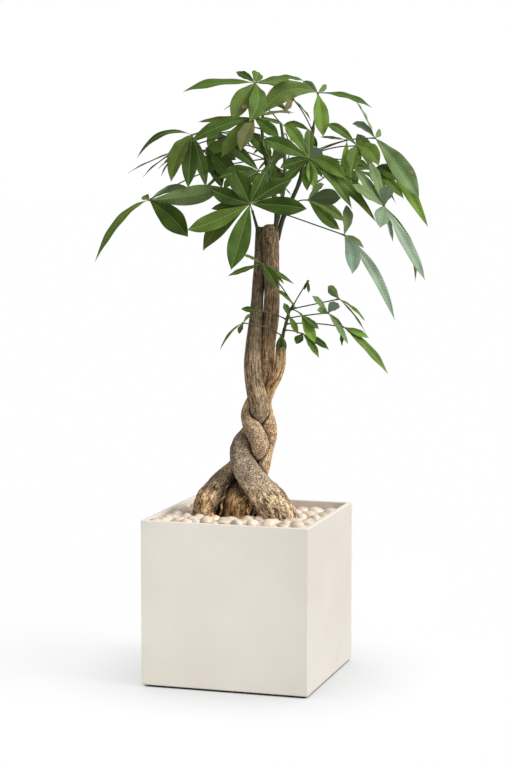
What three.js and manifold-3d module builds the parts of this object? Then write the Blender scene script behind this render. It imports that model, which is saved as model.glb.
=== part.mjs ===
// A potted money tree: a square planter, potting compost, a bed of pebbles, three woody stems that
// are braided together above their roots, and the green shoots that carry the palmate leaves.
// Millimetres, +Z up. The origin is the middle of the planter's underside, with its front face at -Y.

import * as THREE from 'three';
import Module from 'manifold-3d';

const wasm = await Module();
wasm.setup();

// ---------------------------------------------------------------- driving dimensions
const PLANTER_WIDTH = 400;
const PLANTER_HEIGHT = 390;
const WALL = 12;
const FLOOR = 14;
const FOOT_HEIGHT = 5;
const FOOT_INSET = 10;
const CORNER_RADIUS = 2.5;
const GAP = 0.35;

const COMPOST_TOP = 350;
const PEBBLE_BASE = 364;
const PEBBLE_RISE = 19;
const PEBBLE_PITCH = 36;
const PEBBLE_SIDES = 5;
const PEBBLE_LENGTH = 37;
const PEBBLE_HEIGHT = 22;

const BLADE_THICKNESS = 1.1;
const BLADE_FOLD = 0.22;
const BLADE_WAVE = 0.1;
const CREST_SHARE = 0.58;
const BLADE_STATIONS = [0.2, 0.43, 0.67, 0.88];
const SMALL_BLADE = 190;
const SMALL_BLADE_STATIONS = [0.25, 0.56, 0.84];
const TINY_BLADE = 100;
const TINY_BLADE_STATIONS = [0.34, 0.72];
const FAN_WIDTH = 0.28;
const FAN_ARCH = 0.1;
const FAN_SPREAD = THREE.MathUtils.degToRad(250);
const HUB_RADIUS = 4.6;
const STALK_RADIUS = 2.1;
const STALK_SIDES = 4;
const STALK_STEPS = 3;
const SHOOT_SIDES = 6;
const FOOT_SAMPLES = 40;
const SOCKET_STATIONS = 2.6;
const STEM_SIDES = 9;
const STEM_STEPS = 1.5;
const STEM_SHARE = 1.3;
const SOCKET_CLEARANCE = 0.5;

// ---------------------------------------------------------------- reading places off the picture
// Stems and leaves are placed by their pixel in the 512 x 768 picture and by their depth, which is
// how far they stand behind the plane through the planter's middle that faces the eye.
const VIEW = {
  eye: new THREE.Vector3(1449, -4693, 1210),
  yaw: THREE.MathUtils.degToRad(16.97),
  pitch: THREE.MathUtils.degToRad(6.02),
  focal: 2102,
  centreX: 256,
  centreY: 384,
};
const ahead = new THREE.Vector3(
  -Math.sin(VIEW.yaw) * Math.cos(VIEW.pitch),
  Math.cos(VIEW.yaw) * Math.cos(VIEW.pitch),
  -Math.sin(VIEW.pitch),
);
const rightward = new THREE.Vector3(Math.cos(VIEW.yaw), Math.sin(VIEW.yaw), 0);
const upward = new THREE.Vector3().crossVectors(rightward, ahead);
const away = new THREE.Vector3(-Math.sin(VIEW.yaw), Math.cos(VIEW.yaw), 0);

function place(x, y, depth) {
  const ray = ahead.clone()
    .addScaledVector(rightward, (x - VIEW.centreX) / VIEW.focal)
    .addScaledVector(upward, (VIEW.centreY - y) / VIEW.focal);
  const reach = (depth - VIEW.eye.dot(away)) / ray.dot(away);
  return VIEW.eye.clone().addScaledVector(ray, reach);
}

// A station on a stem or shoot: pixel, depth and radius.
function at(x, y, depth, radius) {
  return { place: place(x, y, depth), radius };
}

// A leaflet: the pixel of its tip, how far it leans away from the eye (degrees, negative towards the
// eye), its width, its turn about its own length (0 shows the whole face), how high it arches and how
// far it bows sideways, as seen from the eye (clockwise of its chord).
function blade(tipX, tipY, lean, width, turn, arch, swing = 0) {
  return { tipX, tipY, lean, width, turn, arch, swing };
}

// A leaf: where its stalk leaves the shoot (0 foot, 1 top), its hub, how high its stalk arches, and
// its leaflets.
function leaf(from, hubX, hubY, hubDepth, arch, blades) {
  return { from, hubX, hubY, hubDepth, arch, blades };
}

// A leaf that the picture doesn't show singly: its hub, the compass turn of its outward side (degrees
// from rightward, anticlockwise from above), its leaflet length, how steeply it droops and its count.
function fan(from, hubX, hubY, hubDepth, arch, turn, length, droop, count) {
  return { from, hubX, hubY, hubDepth, arch, turn, length, droop, count };
}

// ---------------------------------------------------------------- the woody stems
const STEM_LEFT = [
  at(261.0, 227.6, 12, 8),
  at(261.0, 229.0, 12, 12),
  at(260.5, 245, 12, 13.5),
  at(259.5, 270, 10, 14),
  at(257.3, 300, 4, 14.6),
  at(255.2, 325, -2, 16.4),
  at(253.4, 345, -7, 18),
  at(252.6, 365, -9, 19.6),
  at(254.2, 382, -7, 21),
  at(257.6, 398, -13, 23),
  at(259.8, 411, -12, 23),
  at(258.0, 424, 6, 19),
  at(247.0, 436, 12, 20),
  at(240.4, 447, -8, 23.5),
  at(242.2, 461, -24, 27.5),
  at(251.5, 478, -36, 32.5),
  at(263.5, 494, -46, 37),
  at(274.5, 509, -58, 39),
  at(284.0, 524, -66, 35),
  at(291.0, 540, -70, 26),
];
const STEM_RIGHT = [
  at(270.6, 224.3, -8, 9),
  at(270.6, 226.2, -8, 15),
  at(270.6, 231, -8, 18.5),
  at(270.8, 250, -8, 19),
  at(271.6, 275, -8, 18.2),
  at(272.0, 300, -2, 18),
  at(270.4, 322, 6, 19),
  at(267.8, 342, 14, 19),
  at(267.0, 362, 16, 18.4),
  at(266.0, 377, 16, 16.5),
  at(261.0, 390, 22, 15),
  at(253.0, 401, 18, 16.5),
  at(248.4, 413, 4, 17.5),
  at(251.0, 425, -16, 20),
  at(256.8, 436, -27, 21),
  at(259.8, 444, -23, 21),
  at(256.6, 451.5, -7, 20.5),
  at(248.5, 458, 14, 21.5),
  at(238.5, 467.5, 24, 25),
  at(227.5, 480, 17, 31),
  at(217.0, 493.5, 4, 36),
  at(210.0, 507, -8, 37),
  at(207.0, 522, -14, 32),
  at(203.0, 538, -12, 22),
];
const STEM_SHORT = [
  at(280.6, 347.5, -8, 8),
  at(280.6, 349.0, -8, 11.4),
  at(280.6, 354, -8, 12.6),
  at(279.8, 365, -8, 12.8),
  at(276.4, 377, -6, 12.6),
  at(270.6, 389, 2, 12.8),
  at(266.0, 401, 8, 14),
  at(266.6, 413, 0, 16),
  at(269.2, 425, -8, 17.5),
  at(269.6, 435, -1, 17.5),
  at(267.4, 445, 9, 18),
  at(264.4, 454, 9, 19.5),
  at(262.6, 463.5, 3, 20.5),
  at(257.0, 476, 6, 26),
  at(248.0, 489, 2, 34),
  at(240.6, 503, -16, 43),
  at(238.0, 518, -28, 42),
  at(236.5, 536, -32, 26),
];

// ---------------------------------------------------------------- the green shoots and their leaves
const SHOOTS = [
  {
    name: 'shoot_front',
    stations: [at(258.6, 240, 4, 5), at(257, 228, 2, 4), at(254.6, 219, -12, 3.2), at(252.4, 211, -50, 2.8)],
    leaves: [
      leaf(1, 250, 204, -150, 0, [
        blade(187, 230, -12, 42, 10, -6),
        blade(203, 251, 12, 40, 12, 6, 10),
        blade(231, 270, -18, 49, 8, 0),
        blade(307, 209, 4, 42, -6, 3),
        blade(292, 180, 12, 34, -10, 6),
        blade(265, 172, 24, 38, 10, 0),
        blade(234, 171, 20, 48, 5, 0),
        blade(210, 189, 12, 38, 20, -3),
        blade(211, 209, 24, 22, 20, 2),
      ]),
    ],
  },
  {
    name: 'shoot_upper_left',
    stations: [
      at(274.0, 240, -14, 5.5), at(275.8, 226, -16, 5.5), at(276.2, 212, -18, 5), at(273, 194, -18, 4.6),
      at(268, 172, -14, 4.2), at(264, 148, -8, 3.8), at(262, 128, -6, 3.4), at(263, 112, -6, 3),
    ],
    leaves: [
      leaf(1, 255, 83, -20, 6, [
        blade(183, 92, -8, 32, 58, 10),
        blade(236, 72, 40, 20, 40, 3),
        blade(258, 72, 58, 30, 10, 2),
        blade(232, 121, -28, 46, 5, 8),
        blade(249, 122, -36, 46, -8, 8, -14),
        blade(302, 90, 24, 30, -40, 8),
        blade(304, 81, -10, 22, -58, 9),
      ]),
      leaf(0.85, 192, 135, -40, 14, [
        blade(137, 158, -5, 16, 46, 30),
        blade(171, 182, -22, 42, 18, 16, 5),
        blade(188, 188, -20, 37, -10, 8),
        blade(206, 187, -8, 32, -22, 8),
      ]),
      leaf(0.78, 186, 148, 40, 12, [
        blade(128, 173, 6, 18, 86, 4),
        blade(143, 177, -6, 20, 82, 9),
        blade(161, 176, -22, 18, 80, 10),
        blade(214, 176, 20, 34, 30, 6),
      ]),
      leaf(0.66, 149, 200, -90, 16, [
        blade(95, 262, -10, 21, 36, 30),
        blade(188, 237, -16, 52, 5, 4, -3),
        blade(143, 196, 58, 20, 20, 0),
        blade(187, 187, 40, 17, 20, 9),
        blade(223, 187, 8, 44, 10, -2, 5),
      ]),
      leaf(0.92, 254, 118, -70, 4, [
        blade(191, 142, -6, 34, 24, 10),
        blade(240, 151, -30, 36, 10, 6),
        blade(221, 158, -10, 36, 20, 8),
        blade(284, 125, 12, 15, -40, 3),
        blade(279, 137, -14, 28, -15, 2),
        blade(294, 113, 20, 16, -50, 6),
        blade(198, 122, 24, 16, 40, 2),
      ]),
      leaf(0.55, 259, 171, -75, 4, [
        blade(226, 143, -6, 28, 20, 4),
        blade(219, 178, -14, 34, 20, 6),
        blade(238, 186, -30, 36, 20, 4),
      ]),
      leaf(0.6, 271, 162, -60, 4, [
        blade(248, 132, 10, 30, 20, 4),
        blade(263, 138, 16, 22, 35, 4),
        blade(290, 142, 12, 36, 25, 4),
        blade(267, 190, -24, 40, -18, 4),
        blade(282, 196, -12, 40, -20, 4),
      ]),
      leaf(0.7, 207, 148, -10, 10, [
        blade(236, 182, -10, 44, -15, 4),
        blade(222, 188, -10, 34, -12, 4),
        blade(224, 150, -20, 34, -20, 4),
        blade(236, 160, 20, 40, 25, 4),
      ]),
    ],
  },
  {
    name: 'shoot_upper_right',
    stations: [
      at(277.4, 240, 0, 6), at(280.6, 226, -2, 6), at(285.0, 213, -2, 5.6), at(293, 197, 0, 5.2),
      at(300, 180, 4, 4.8), at(304, 160, 6, 4.4), at(311, 142, 8, 3.8), at(313.5, 126, 10, 3),
    ],
    leaves: [
      leaf(1, 318, 93, 10, 4, [
        blade(303, 81, 30, 22, 20, 0),
        blade(327, 85, 40, 15, 20, 1),
        blade(262, 115, -20, 47, 8, 20, 12),
        blade(323, 137, -24, 38, -12, 4),
        blade(372, 108, -8, 24, -58, 10),
      ]),
      leaf(0.96, 311, 132, -10, 1, [
        blade(283, 126, 4, 16, 30, 10),
        blade(317, 148, -10, 15, 20, 0),
      ]),
      leaf(0.95, 293, 99, 40, 6, [
        blade(311, 121, -10, 20, -70, 3),
        blade(285, 111, -20, 16, -10, 2),
      ]),
      leaf(0.74, 375, 138, 30, 10, [
        blade(352, 124, 24, 21, 30, 10),
        blade(381, 131, 58, 18, 20, 2),
        blade(355, 100, 18, 26, 78, 4),
        blade(419, 199, -20, 47, -20, 7, -3),
        blade(428, 227, 6, 29, -20, 8),
      ]),
      leaf(0.72, 357, 146, -30, 8, [
        blade(326, 125, -6, 22, 12, 10),
        blade(379, 166, -24, 40, -18, 14),
        blade(351, 172, -34, 36, -12, 8),
      ]),
      leaf(0.73, 347, 140, -40, 3, [
        blade(320, 137, 6, 10, 52, 1),
        blade(344, 178, -14, 20, 15, 0),
      ]),
      leaf(0.7, 372, 170, 50, 14, [
        blade(357, 134, 6, 38, 25, 6),
        blade(404, 182, -14, 38, -14, 12),
        blade(404, 199, -22, 24, -20, 8),
        blade(349, 166, -12, 30, 30, 6),
      ]),
      leaf(0.64, 384, 206, -60, 26, [
        blade(354, 168, 8, 24, 30, 1),
        blade(369, 161, 14, 28, 25, 6),
        blade(389, 186, -58, 34, 10, 4),
        blade(380, 228, -56, 38, -8, 4),
        blade(425, 280, -10, 28, -18, 6),
        blade(393, 242, -8, 14, -40, 4),
        blade(352, 184, -8, 28, 30, 0),
        blade(415, 282, 14, 15, 30, 4, -21),
      ]),
      leaf(0.56, 309, 159, -50, 2, [
        blade(346, 180, -12, 34, -14, 14),
        blade(352, 209, -10, 30, -22, 16),
        blade(376, 222, -4, 26, -26, 18),
        blade(314, 189, -30, 26, -20, 4),
        blade(307, 191, -30, 27, 15, 3),
        blade(322, 150, -48, 27, 15, 2),
        blade(309, 129, 18, 26, 30, 6),
        blade(284, 126, 8, 30, 20, 12),
        blade(262, 140, -12, 36, 20, 6),
        blade(281, 186, -30, 26, 25, 3),
        blade(280, 168, -16, 28, 15, 2),
      ]),
      leaf(0.34, 308, 200, -110, 4, [
        blade(341, 198, -34, 38, 5, 4),
        blade(340, 230, -18, 26, -16, -3),
        blade(345, 222, -6, 28, -25, 6),
        blade(324, 184, 22, 24, 40, 4),
      ]),
      leaf(0.28, 344, 235, -70, 0, [
        blade(346, 205, 24, 27, 20, 2, 5),
        blade(352, 274, -26, 35, -8, 2, -10),
        blade(395, 321, -8, 24, -18, 24, -3),
        blade(364, 248, 30, 16, -30, 4),
      ]),
    ],
  },
  {
    name: 'shoot_back',
    stations: [
      at(272.5, 240, 6, 5.5), at(275.5, 226, 10, 5.5), at(279.5, 212, 22, 5), at(283, 192, 44, 4.6),
      at(285, 170, 66, 4.2), at(284, 146, 84, 3.8), at(281, 124, 96, 3.2),
    ],
    leaves: [
      fan(1, 258, 103, 110, 6, 100, 100, 12, 5),
      fan(0.9, 288, 140, 210, 10, 90, 112, 24, 5),
      fan(0.82, 219, 133, 195, 16, 125, 116, 22, 4),
      fan(0.72, 350, 168, 180, 22, 30, 150, 34, 5),
      fan(0.64, 206, 150, 170, 20, 150, 130, 20, 4),
      fan(0.5, 290, 153, 230, 14, 80, 130, 26, 4),
      fan(0.4, 250, 172, 225, 16, 108, 145, 24, 4),
    ],
  },
  {
    name: 'shoot_side',
    stations: [
      at(280.6, 353, -4, 4.4), at(281.4, 344, -6, 4.4), at(283.4, 333, -12, 3.8), at(286.6, 321, -16, 3.4),
      at(289.4, 311, -18, 3), at(293.5, 305, -20, 2.6),
    ],
    leaves: [
      leaf(1, 262, 264, -52, 6, [
        blade(242, 255, -8, 12, 60, 3),
        blade(228, 276, -6, 15, 36, 1),
        blade(277, 288, -12, 30, -12, 3),
        blade(284, 284, 10, 14, 50, 3),
        blade(294, 284, 2, 13, -50, 0),
      ]),
      leaf(0.84, 339, 299, -34, 0, [
        blade(328, 286, -20, 22, 10, 2),
        blade(365, 321, -8, 18, -55, 5),
        blade(366, 334, 8, 13, -76, 7),
      ]),
      leaf(0.66, 328, 313, -70, 1, [
        blade(312, 296, -8, 18, 40, 3),
        blade(317, 310, -46, 18, 20, 2),
        blade(338, 303, -50, 26, 15, 2),
        blade(348, 344, -12, 19, -34, 3),
        blade(343, 327, -6, 9, 40, 2),
      ]),
      leaf(0.55, 343, 327, -20, 4, [
        blade(342, 346, -10, 14, 50, 3),
        blade(369, 338, -4, 18, -40, 1),
        blade(388, 374, -6, 22, -30, 10),
      ]),
      leaf(0.84, 301, 314, -90, 2, [
        blade(315, 343, -10, 26, -20, 2),
        blade(319, 329, -16, 17, -25, -1),
      ]),
      leaf(0.45, 303, 334, -50, 2, [
        blade(296, 344, -30, 22, 10, 1),
        blade(319, 358, -6, 18, -35, 4),
        blade(329, 350, -4, 18, -35, 4),
      ]),
      leaf(0.98, 308, 281, -12, 1, [
        blade(309, 293, -20, 9, 25, 1),
        blade(304, 290, 14, 8, 40, 1),
      ]),
      leaf(0.35, 243, 323, -60, 6, [
        blade(220, 350, -6, 9, 40, 11),
        blade(239, 334, -20, 15, 30, 1),
        blade(251, 314, 6, 9, 30, 2),
      ]),
      leaf(0.74, 289, 316, -34, 0, [
        blade(298, 334, -16, 15, 12, 2),
        blade(284, 303, 8, 15, 20, 1),
      ]),
      leaf(0.86, 296, 308, -30, 1, [
        blade(275, 290, 6, 10, 30, 7),
      ]),
      leaf(0.62, 259, 311, -44, 3, [
        blade(241, 309, -8, 14, 20, 1),
      ]),
      leaf(0.16, 281, 335, -26, 0, [
        blade(277, 352, -12, 12, 14, 1),
        blade(286, 350, -4, 11, 14, 1),
      ]),
    ],
  },
];

const FINISH = {
  planter: { color: 0xe6e0d6, roughness: 0.45 },
  compost: { color: 0x2f2118, roughness: 1.0 },
  pebbles: { color: 0xe8dccb, roughness: 0.55 },
  bark: { color: 0x8b7560, roughness: 0.9 },
  leaf: { color: 0x41692c, roughness: 0.45 },
};

// ---------------------------------------------------------------- solids
function closedSolid(corners, faces) {
  const vertProperties = new Float32Array(corners.flatMap((corner) => corner.toArray()));
  return new wasm.Manifold(new wasm.Mesh({ numProp: 3, vertProperties, triVerts: new Uint32Array(faces) }));
}

// Skins a run of rings. Each ring turns anticlockwise about the run; one point alone closes an end.
// The quads after firstTurned are split along their other diagonal, so that the two faces of a thin
// blade are split alike.
function loft(rings, firstTurned = Infinity) {
  const corners = rings.flat();
  const faces = [];
  let here = 0;
  for (let k = 0; k + 1 < rings.length; k += 1) {
    const next = here + rings[k].length;
    const count = Math.max(rings[k].length, rings[k + 1].length);
    for (let i = 0; i < count; i += 1) {
      const j = (i + 1) % count;
      if (rings[k].length === 1) faces.push(here, next + j, next + i);
      else if (rings[k + 1].length === 1) faces.push(here + i, here + j, next);
      else if (i < firstTurned) faces.push(here + i, here + j, next + j, here + i, next + j, next + i);
      else faces.push(here + i, here + j, next + i, here + j, next + j, next + i);
    }
    here = next;
  }
  for (let i = 1; i + 1 < rings[0].length; i += 1) faces.push(0, i + 1, i);
  for (let i = 1; i + 1 < rings[rings.length - 1].length; i += 1) faces.push(here, here + i, here + i + 1);
  return closedSolid(corners, faces);
}

function geometrySolid(geometry) {
  const position = geometry.getAttribute('position');
  const corners = [];
  const faces = [];
  const known = new Map();
  for (let i = 0; i < position.count; i += 1) {
    const corner = new THREE.Vector3().fromBufferAttribute(position, i);
    const key = corner.toArray().map((value) => Math.round(value * 1e4)).join();
    if (!known.has(key)) {
      known.set(key, corners.length);
      corners.push(corner);
    }
    faces.push(known.get(key));
  }
  const order = geometry.index ? Array.from(geometry.index.array, (i) => faces[i]) : faces;
  const kept = [];
  for (let i = 0; i < order.length; i += 3) {
    const [a, b, c] = order.slice(i, i + 3);
    if (a !== b && b !== c && c !== a) kept.push(a, b, c);
  }
  return closedSolid(corners, kept);
}

function join(solids) {
  return solids.reduce((whole, solid) => whole.add(solid));
}

function meshOf(name, solid, finish) {
  const { vertProperties, triVerts } = solid.getMesh();
  const geometry = new THREE.BufferGeometry();
  geometry.setAttribute('position', new THREE.BufferAttribute(vertProperties, 3));
  geometry.setIndex(new THREE.BufferAttribute(triVerts, 1));
  geometry.computeVertexNormals();
  const mesh = new THREE.Mesh(geometry, new THREE.MeshStandardMaterial({ metalness: 0, ...finish }));
  mesh.name = name;
  return mesh;
}

// ---------------------------------------------------------------- runs along a curve
function curveThrough(places) {
  return new THREE.CatmullRomCurve3(places, false, 'catmullrom', 0.5);
}

// Points, directions and radii along smooth curves through the stations.
function sampleRun(stations, steps) {
  const line = curveThrough(stations.map((station) => station.place));
  const sizes = curveThrough(stations.map((station) => new THREE.Vector3(station.radius, 0, 0)));
  const samples = [];
  for (let i = 0; i <= steps; i += 1) {
    const t = i / steps;
    samples.push({ place: line.getPoint(t), tangent: line.getTangent(t), radius: sizes.getPoint(t).x });
  }
  return samples;
}

// A round run whose rings keep turning with the curve and never twist about it. extra fattens it all
// round and past its ends, and share keeps only its first part.
function tube(stations, sides, steps, extra = 0, share = 1) {
  const side = new THREE.Vector3(1, 0, 0);
  const samples = sampleRun(stations, steps).slice(0, Math.ceil(share * steps) + 1);
  if (Math.abs(samples[0].tangent.x) > 0.9) side.set(0, 1, 0);
  samples[0].place.addScaledVector(samples[0].tangent, -extra);
  samples[samples.length - 1].place.addScaledVector(samples[samples.length - 1].tangent, extra);
  const rings = samples.map((sample) => {
    side.addScaledVector(sample.tangent, -side.dot(sample.tangent)).normalize();
    const front = new THREE.Vector3().crossVectors(sample.tangent, side);
    const ring = [];
    for (let i = 0; i < sides; i += 1) {
      const angle = (2 * Math.PI * i) / sides;
      ring.push(sample.place.clone()
        .addScaledVector(side, Math.cos(angle) * (sample.radius + extra))
        .addScaledVector(front, Math.sin(angle) * (sample.radius + extra)));
    }
    return ring;
  });
  return loft(rings);
}

// ---------------------------------------------------------------- planter, compost and pebbles
function squareBlock(width, bottom, top, cornerRadius) {
  const half = width / 2;
  const outline = new THREE.Shape();
  outline.moveTo(-half + cornerRadius, -half);
  outline.lineTo(half - cornerRadius, -half);
  outline.quadraticCurveTo(half, -half, half, -half + cornerRadius);
  outline.lineTo(half, half - cornerRadius);
  outline.quadraticCurveTo(half, half, half - cornerRadius, half);
  outline.lineTo(-half + cornerRadius, half);
  outline.quadraticCurveTo(-half, half, -half, half - cornerRadius);
  outline.lineTo(-half, -half + cornerRadius);
  outline.quadraticCurveTo(-half, -half, -half + cornerRadius, -half);
  const block = new THREE.ExtrudeGeometry(outline, {
    depth: top - bottom,
    bevelEnabled: false,
    curveSegments: 2,
  });
  block.translate(0, 0, bottom);
  return geometrySolid(block);
}

const INNER_WIDTH = PLANTER_WIDTH - 2 * WALL;

function planterSolid() {
  const body = squareBlock(PLANTER_WIDTH, FOOT_HEIGHT, PLANTER_HEIGHT, CORNER_RADIUS);
  const foot = squareBlock(PLANTER_WIDTH - 2 * FOOT_INSET, 0, FOOT_HEIGHT + FLOOR / 2, CORNER_RADIUS);
  const hollow = squareBlock(INNER_WIDTH, FLOOR, PLANTER_HEIGHT + WALL, CORNER_RADIUS);
  return body.add(foot).subtract(hollow);
}

// A repeatable draw between 0 and 1 for each number.
function draw(number) {
  const wave = Math.sin(number * 12.9898) * 43758.5453;
  return wave - Math.floor(wave);
}

// One smooth oval stone: a low ball stretched along a random heading.
function pebble(x, y, z, seed) {
  const stone = new THREE.SphereGeometry(1, PEBBLE_SIDES, 3);
  const length = PEBBLE_LENGTH * (0.86 + 0.28 * draw(seed + 0.1));
  const breadth = length * (0.74 + 0.2 * draw(seed + 0.2));
  const height = PEBBLE_HEIGHT * (0.85 + 0.3 * draw(seed + 0.3));
  stone.rotateX(Math.PI / 2);
  stone.scale(length / 2, breadth / 2, height / 2);
  stone.rotateZ(Math.PI * draw(seed + 0.4));
  stone.translate(x, y, z);
  return geometrySolid(stone);
}

function pebbleBed() {
  const reach = INNER_WIDTH / 2 - GAP;
  const side = (y, top) => [
    new THREE.Vector3(-reach, y, COMPOST_TOP + GAP),
    new THREE.Vector3(-reach, y, top),
    new THREE.Vector3(reach, y, top),
    new THREE.Vector3(reach, y, COMPOST_TOP + GAP),
  ];
  const stones = [loft([side(-reach, PEBBLE_BASE + PEBBLE_RISE), side(reach, PEBBLE_BASE)])];
  const rows = Math.floor((2 * reach - PEBBLE_LENGTH * 0.7) / PEBBLE_PITCH);
  const start = -rows * PEBBLE_PITCH / 2;
  for (let row = 0; row <= rows; row += 1) {
    for (let column = 0; column <= rows; column += 1) {
      const seed = 1 + row * 17.3 + column * 3.7;
      const shift = row % 2 === 0 ? 0.12 : -0.12;
      const x = start + (column + shift + 0.22 * (draw(seed + 0.5) - 0.5)) * PEBBLE_PITCH;
      const y = start + (row + 0.22 * (draw(seed + 0.6) - 0.5)) * PEBBLE_PITCH;
      const z = PEBBLE_BASE + PEBBLE_RISE * (0.5 - y / (2 * reach)) + 7 * draw(seed + 0.7);
      stones.push(pebble(x, y, z, seed));
    }
  }
  const room = squareBlock(2 * reach, COMPOST_TOP + GAP, PLANTER_HEIGHT + PEBBLE_HEIGHT, CORNER_RADIUS);
  return join(stones).intersect(room);
}

// ---------------------------------------------------------------- leaves
// Half the outline's width along a leaflet: narrow at its root, widest past its middle, drawn out to
// its tip.
function outlineAt(u) {
  const v = u ** 1.2;
  return (4 * v * (1 - v)) ** (v < 0.5 ? 0.95 : 1.2);
}

// One leaflet as a thin folded blade with waved edges. side points across the blade and is turned so
// that the blade's upper face is towards upper.
function bladeSolid(root, tip, side, width, bow, seed) {
  const length = root.distanceTo(tip);
  let stations = BLADE_STATIONS;
  if (length < SMALL_BLADE) stations = SMALL_BLADE_STATIONS;
  if (length < TINY_BLADE) stations = TINY_BLADE_STATIONS;
  const crest = root.clone().lerp(tip, CREST_SHARE).addScaledVector(bow, 2);
  const spine = new THREE.QuadraticBezierCurve3(root, crest, tip);
  const half = BLADE_THICKNESS / 2;
  const rings = [[root]];
  stations.forEach((u, index) => {
    const tangent = spine.getTangent(u);
    const across = side.clone().addScaledVector(tangent, -side.dot(tangent)).normalize();
    const normal = new THREE.Vector3().crossVectors(tangent, across);
    const reach = (width / 2) * outlineAt(u);
    const wave = BLADE_WAVE * width * (index % 2 === 0 ? 1 : -1) * (0.5 + draw(seed + 0.8)) * 0.5;
    const edge = (sideways, lift, face) => spine.getPoint(u)
      .addScaledVector(across, sideways * reach)
      .addScaledVector(normal, lift + face * half);
    const foldLift = BLADE_FOLD * reach;
    rings.push([
      edge(1, foldLift + wave, -1),
      edge(1, foldLift + wave, 1),
      edge(0, 0, 1),
      edge(-1, foldLift - wave, 1),
      edge(-1, foldLift - wave, -1),
      edge(0, 0, -1),
    ]);
  });
  rings.push([tip]);
  return loft(rings, 4);
}

// Turns a leaflet's pixel row into its tip, crosswise direction and bow.
function bladeFromPicture(hub, hubDepth, row) {
  const flatTip = place(row.tipX, row.tipY, hubDepth);
  const drift = hub.distanceTo(flatTip) * Math.tan(THREE.MathUtils.degToRad(row.lean));
  const tip = place(row.tipX, row.tipY, hubDepth + drift);
  const chord = tip.clone().sub(hub).normalize();
  const toEye = VIEW.eye.clone().sub(hub).normalize();
  const turn = THREE.MathUtils.degToRad(row.turn);
  const flat = new THREE.Vector3().crossVectors(chord, toEye).normalize();
  const deep = new THREE.Vector3().crossVectors(chord, flat);
  const side = flat.clone().multiplyScalar(Math.cos(turn)).addScaledVector(deep, Math.sin(turn));
  if (new THREE.Vector3().crossVectors(chord, side).z < 0) side.negate();
  const bow = new THREE.Vector3(0, 0, row.arch).addScaledVector(flat, row.swing);
  return { tip, side, bow };
}

// Spreads a fan leaf's leaflets round its hub, the middle ones longest, all drooping outwards.
function bladesOfFan(hub, row, seed) {
  const blades = [];
  const heading = THREE.MathUtils.degToRad(row.turn) + VIEW.yaw;
  for (let i = 0; i < row.count; i += 1) {
    const share = row.count > 1 ? i / (row.count - 1) - 0.5 : 0;
    const angle = heading + share * FAN_SPREAD + 0.25 * (draw(seed + i) - 0.5);
    const droop = THREE.MathUtils.degToRad(row.droop + 14 * (draw(seed + i + 0.5) - 0.5));
    const length = row.length * (1 - 0.9 * share * share) * (0.9 + 0.2 * draw(seed + i + 0.3));
    const chord = new THREE.Vector3(
      Math.cos(angle) * Math.cos(droop),
      Math.sin(angle) * Math.cos(droop),
      -Math.sin(droop),
    );
    const tip = hub.clone().addScaledVector(chord, length);
    const side = new THREE.Vector3(0, 0, 1).cross(chord).normalize();
    const bow = new THREE.Vector3(0, 0, length * FAN_ARCH);
    blades.push({ tip, side, bow, width: length * FAN_WIDTH });
  }
  return blades;
}

function leafSolids(row, shootSamples, seed) {
  const hub = place(row.hubX, row.hubY, row.hubDepth);
  const foot = shootSamples[Math.round(row.from * (shootSamples.length - 1))].place;
  const rise = new THREE.Vector3(0, 0, row.arch);
  const stalk = [
    { place: foot, radius: STALK_RADIUS * 1.2 },
    { place: foot.clone().lerp(hub, 0.33).add(rise), radius: STALK_RADIUS },
    { place: foot.clone().lerp(hub, 0.67).add(rise), radius: STALK_RADIUS },
    { place: hub, radius: STALK_RADIUS },
  ];
  const knob = new THREE.OctahedronGeometry(HUB_RADIUS, 0).translate(hub.x, hub.y, hub.z);
  const solids = [tube(stalk, STALK_SIDES, STALK_STEPS), geometrySolid(knob)];
  const blades = row.blades
    ? row.blades.map((shown) => ({ ...shown, ...bladeFromPicture(hub, row.hubDepth, shown) }))
    : bladesOfFan(hub, row, seed);
  blades.forEach((one, index) => {
    solids.push(bladeSolid(hub, one.tip, one.side, one.width, one.bow, seed + index));
  });
  return solids;
}

function shootSteps(shoot) {
  return 2 * (shoot.stations.length - 1);
}

function shootSolid(shoot, number) {
  const samples = sampleRun(shoot.stations, FOOT_SAMPLES);
  const solids = [tube(shoot.stations, SHOOT_SIDES, shootSteps(shoot))];
  shoot.leaves.forEach((row, index) => solids.push(...leafSolids(row, samples, 100 * number + 10 * index)));
  return join(solids);
}

// The foot of a shoot, made a little fatter, for the socket that it stands in.
function socketOf(shoot) {
  const share = SOCKET_STATIONS / (shoot.stations.length - 1);
  return tube(shoot.stations, SHOOT_SIDES, shootSteps(shoot), SOCKET_CLEARANCE, share);
}

// ---------------------------------------------------------------- the whole plant
const STEMS = [
  { name: 'stem_left', stations: STEM_LEFT },
  { name: 'stem_right', stations: STEM_RIGHT },
  { name: 'stem_short', stations: STEM_SHORT },
];

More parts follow.
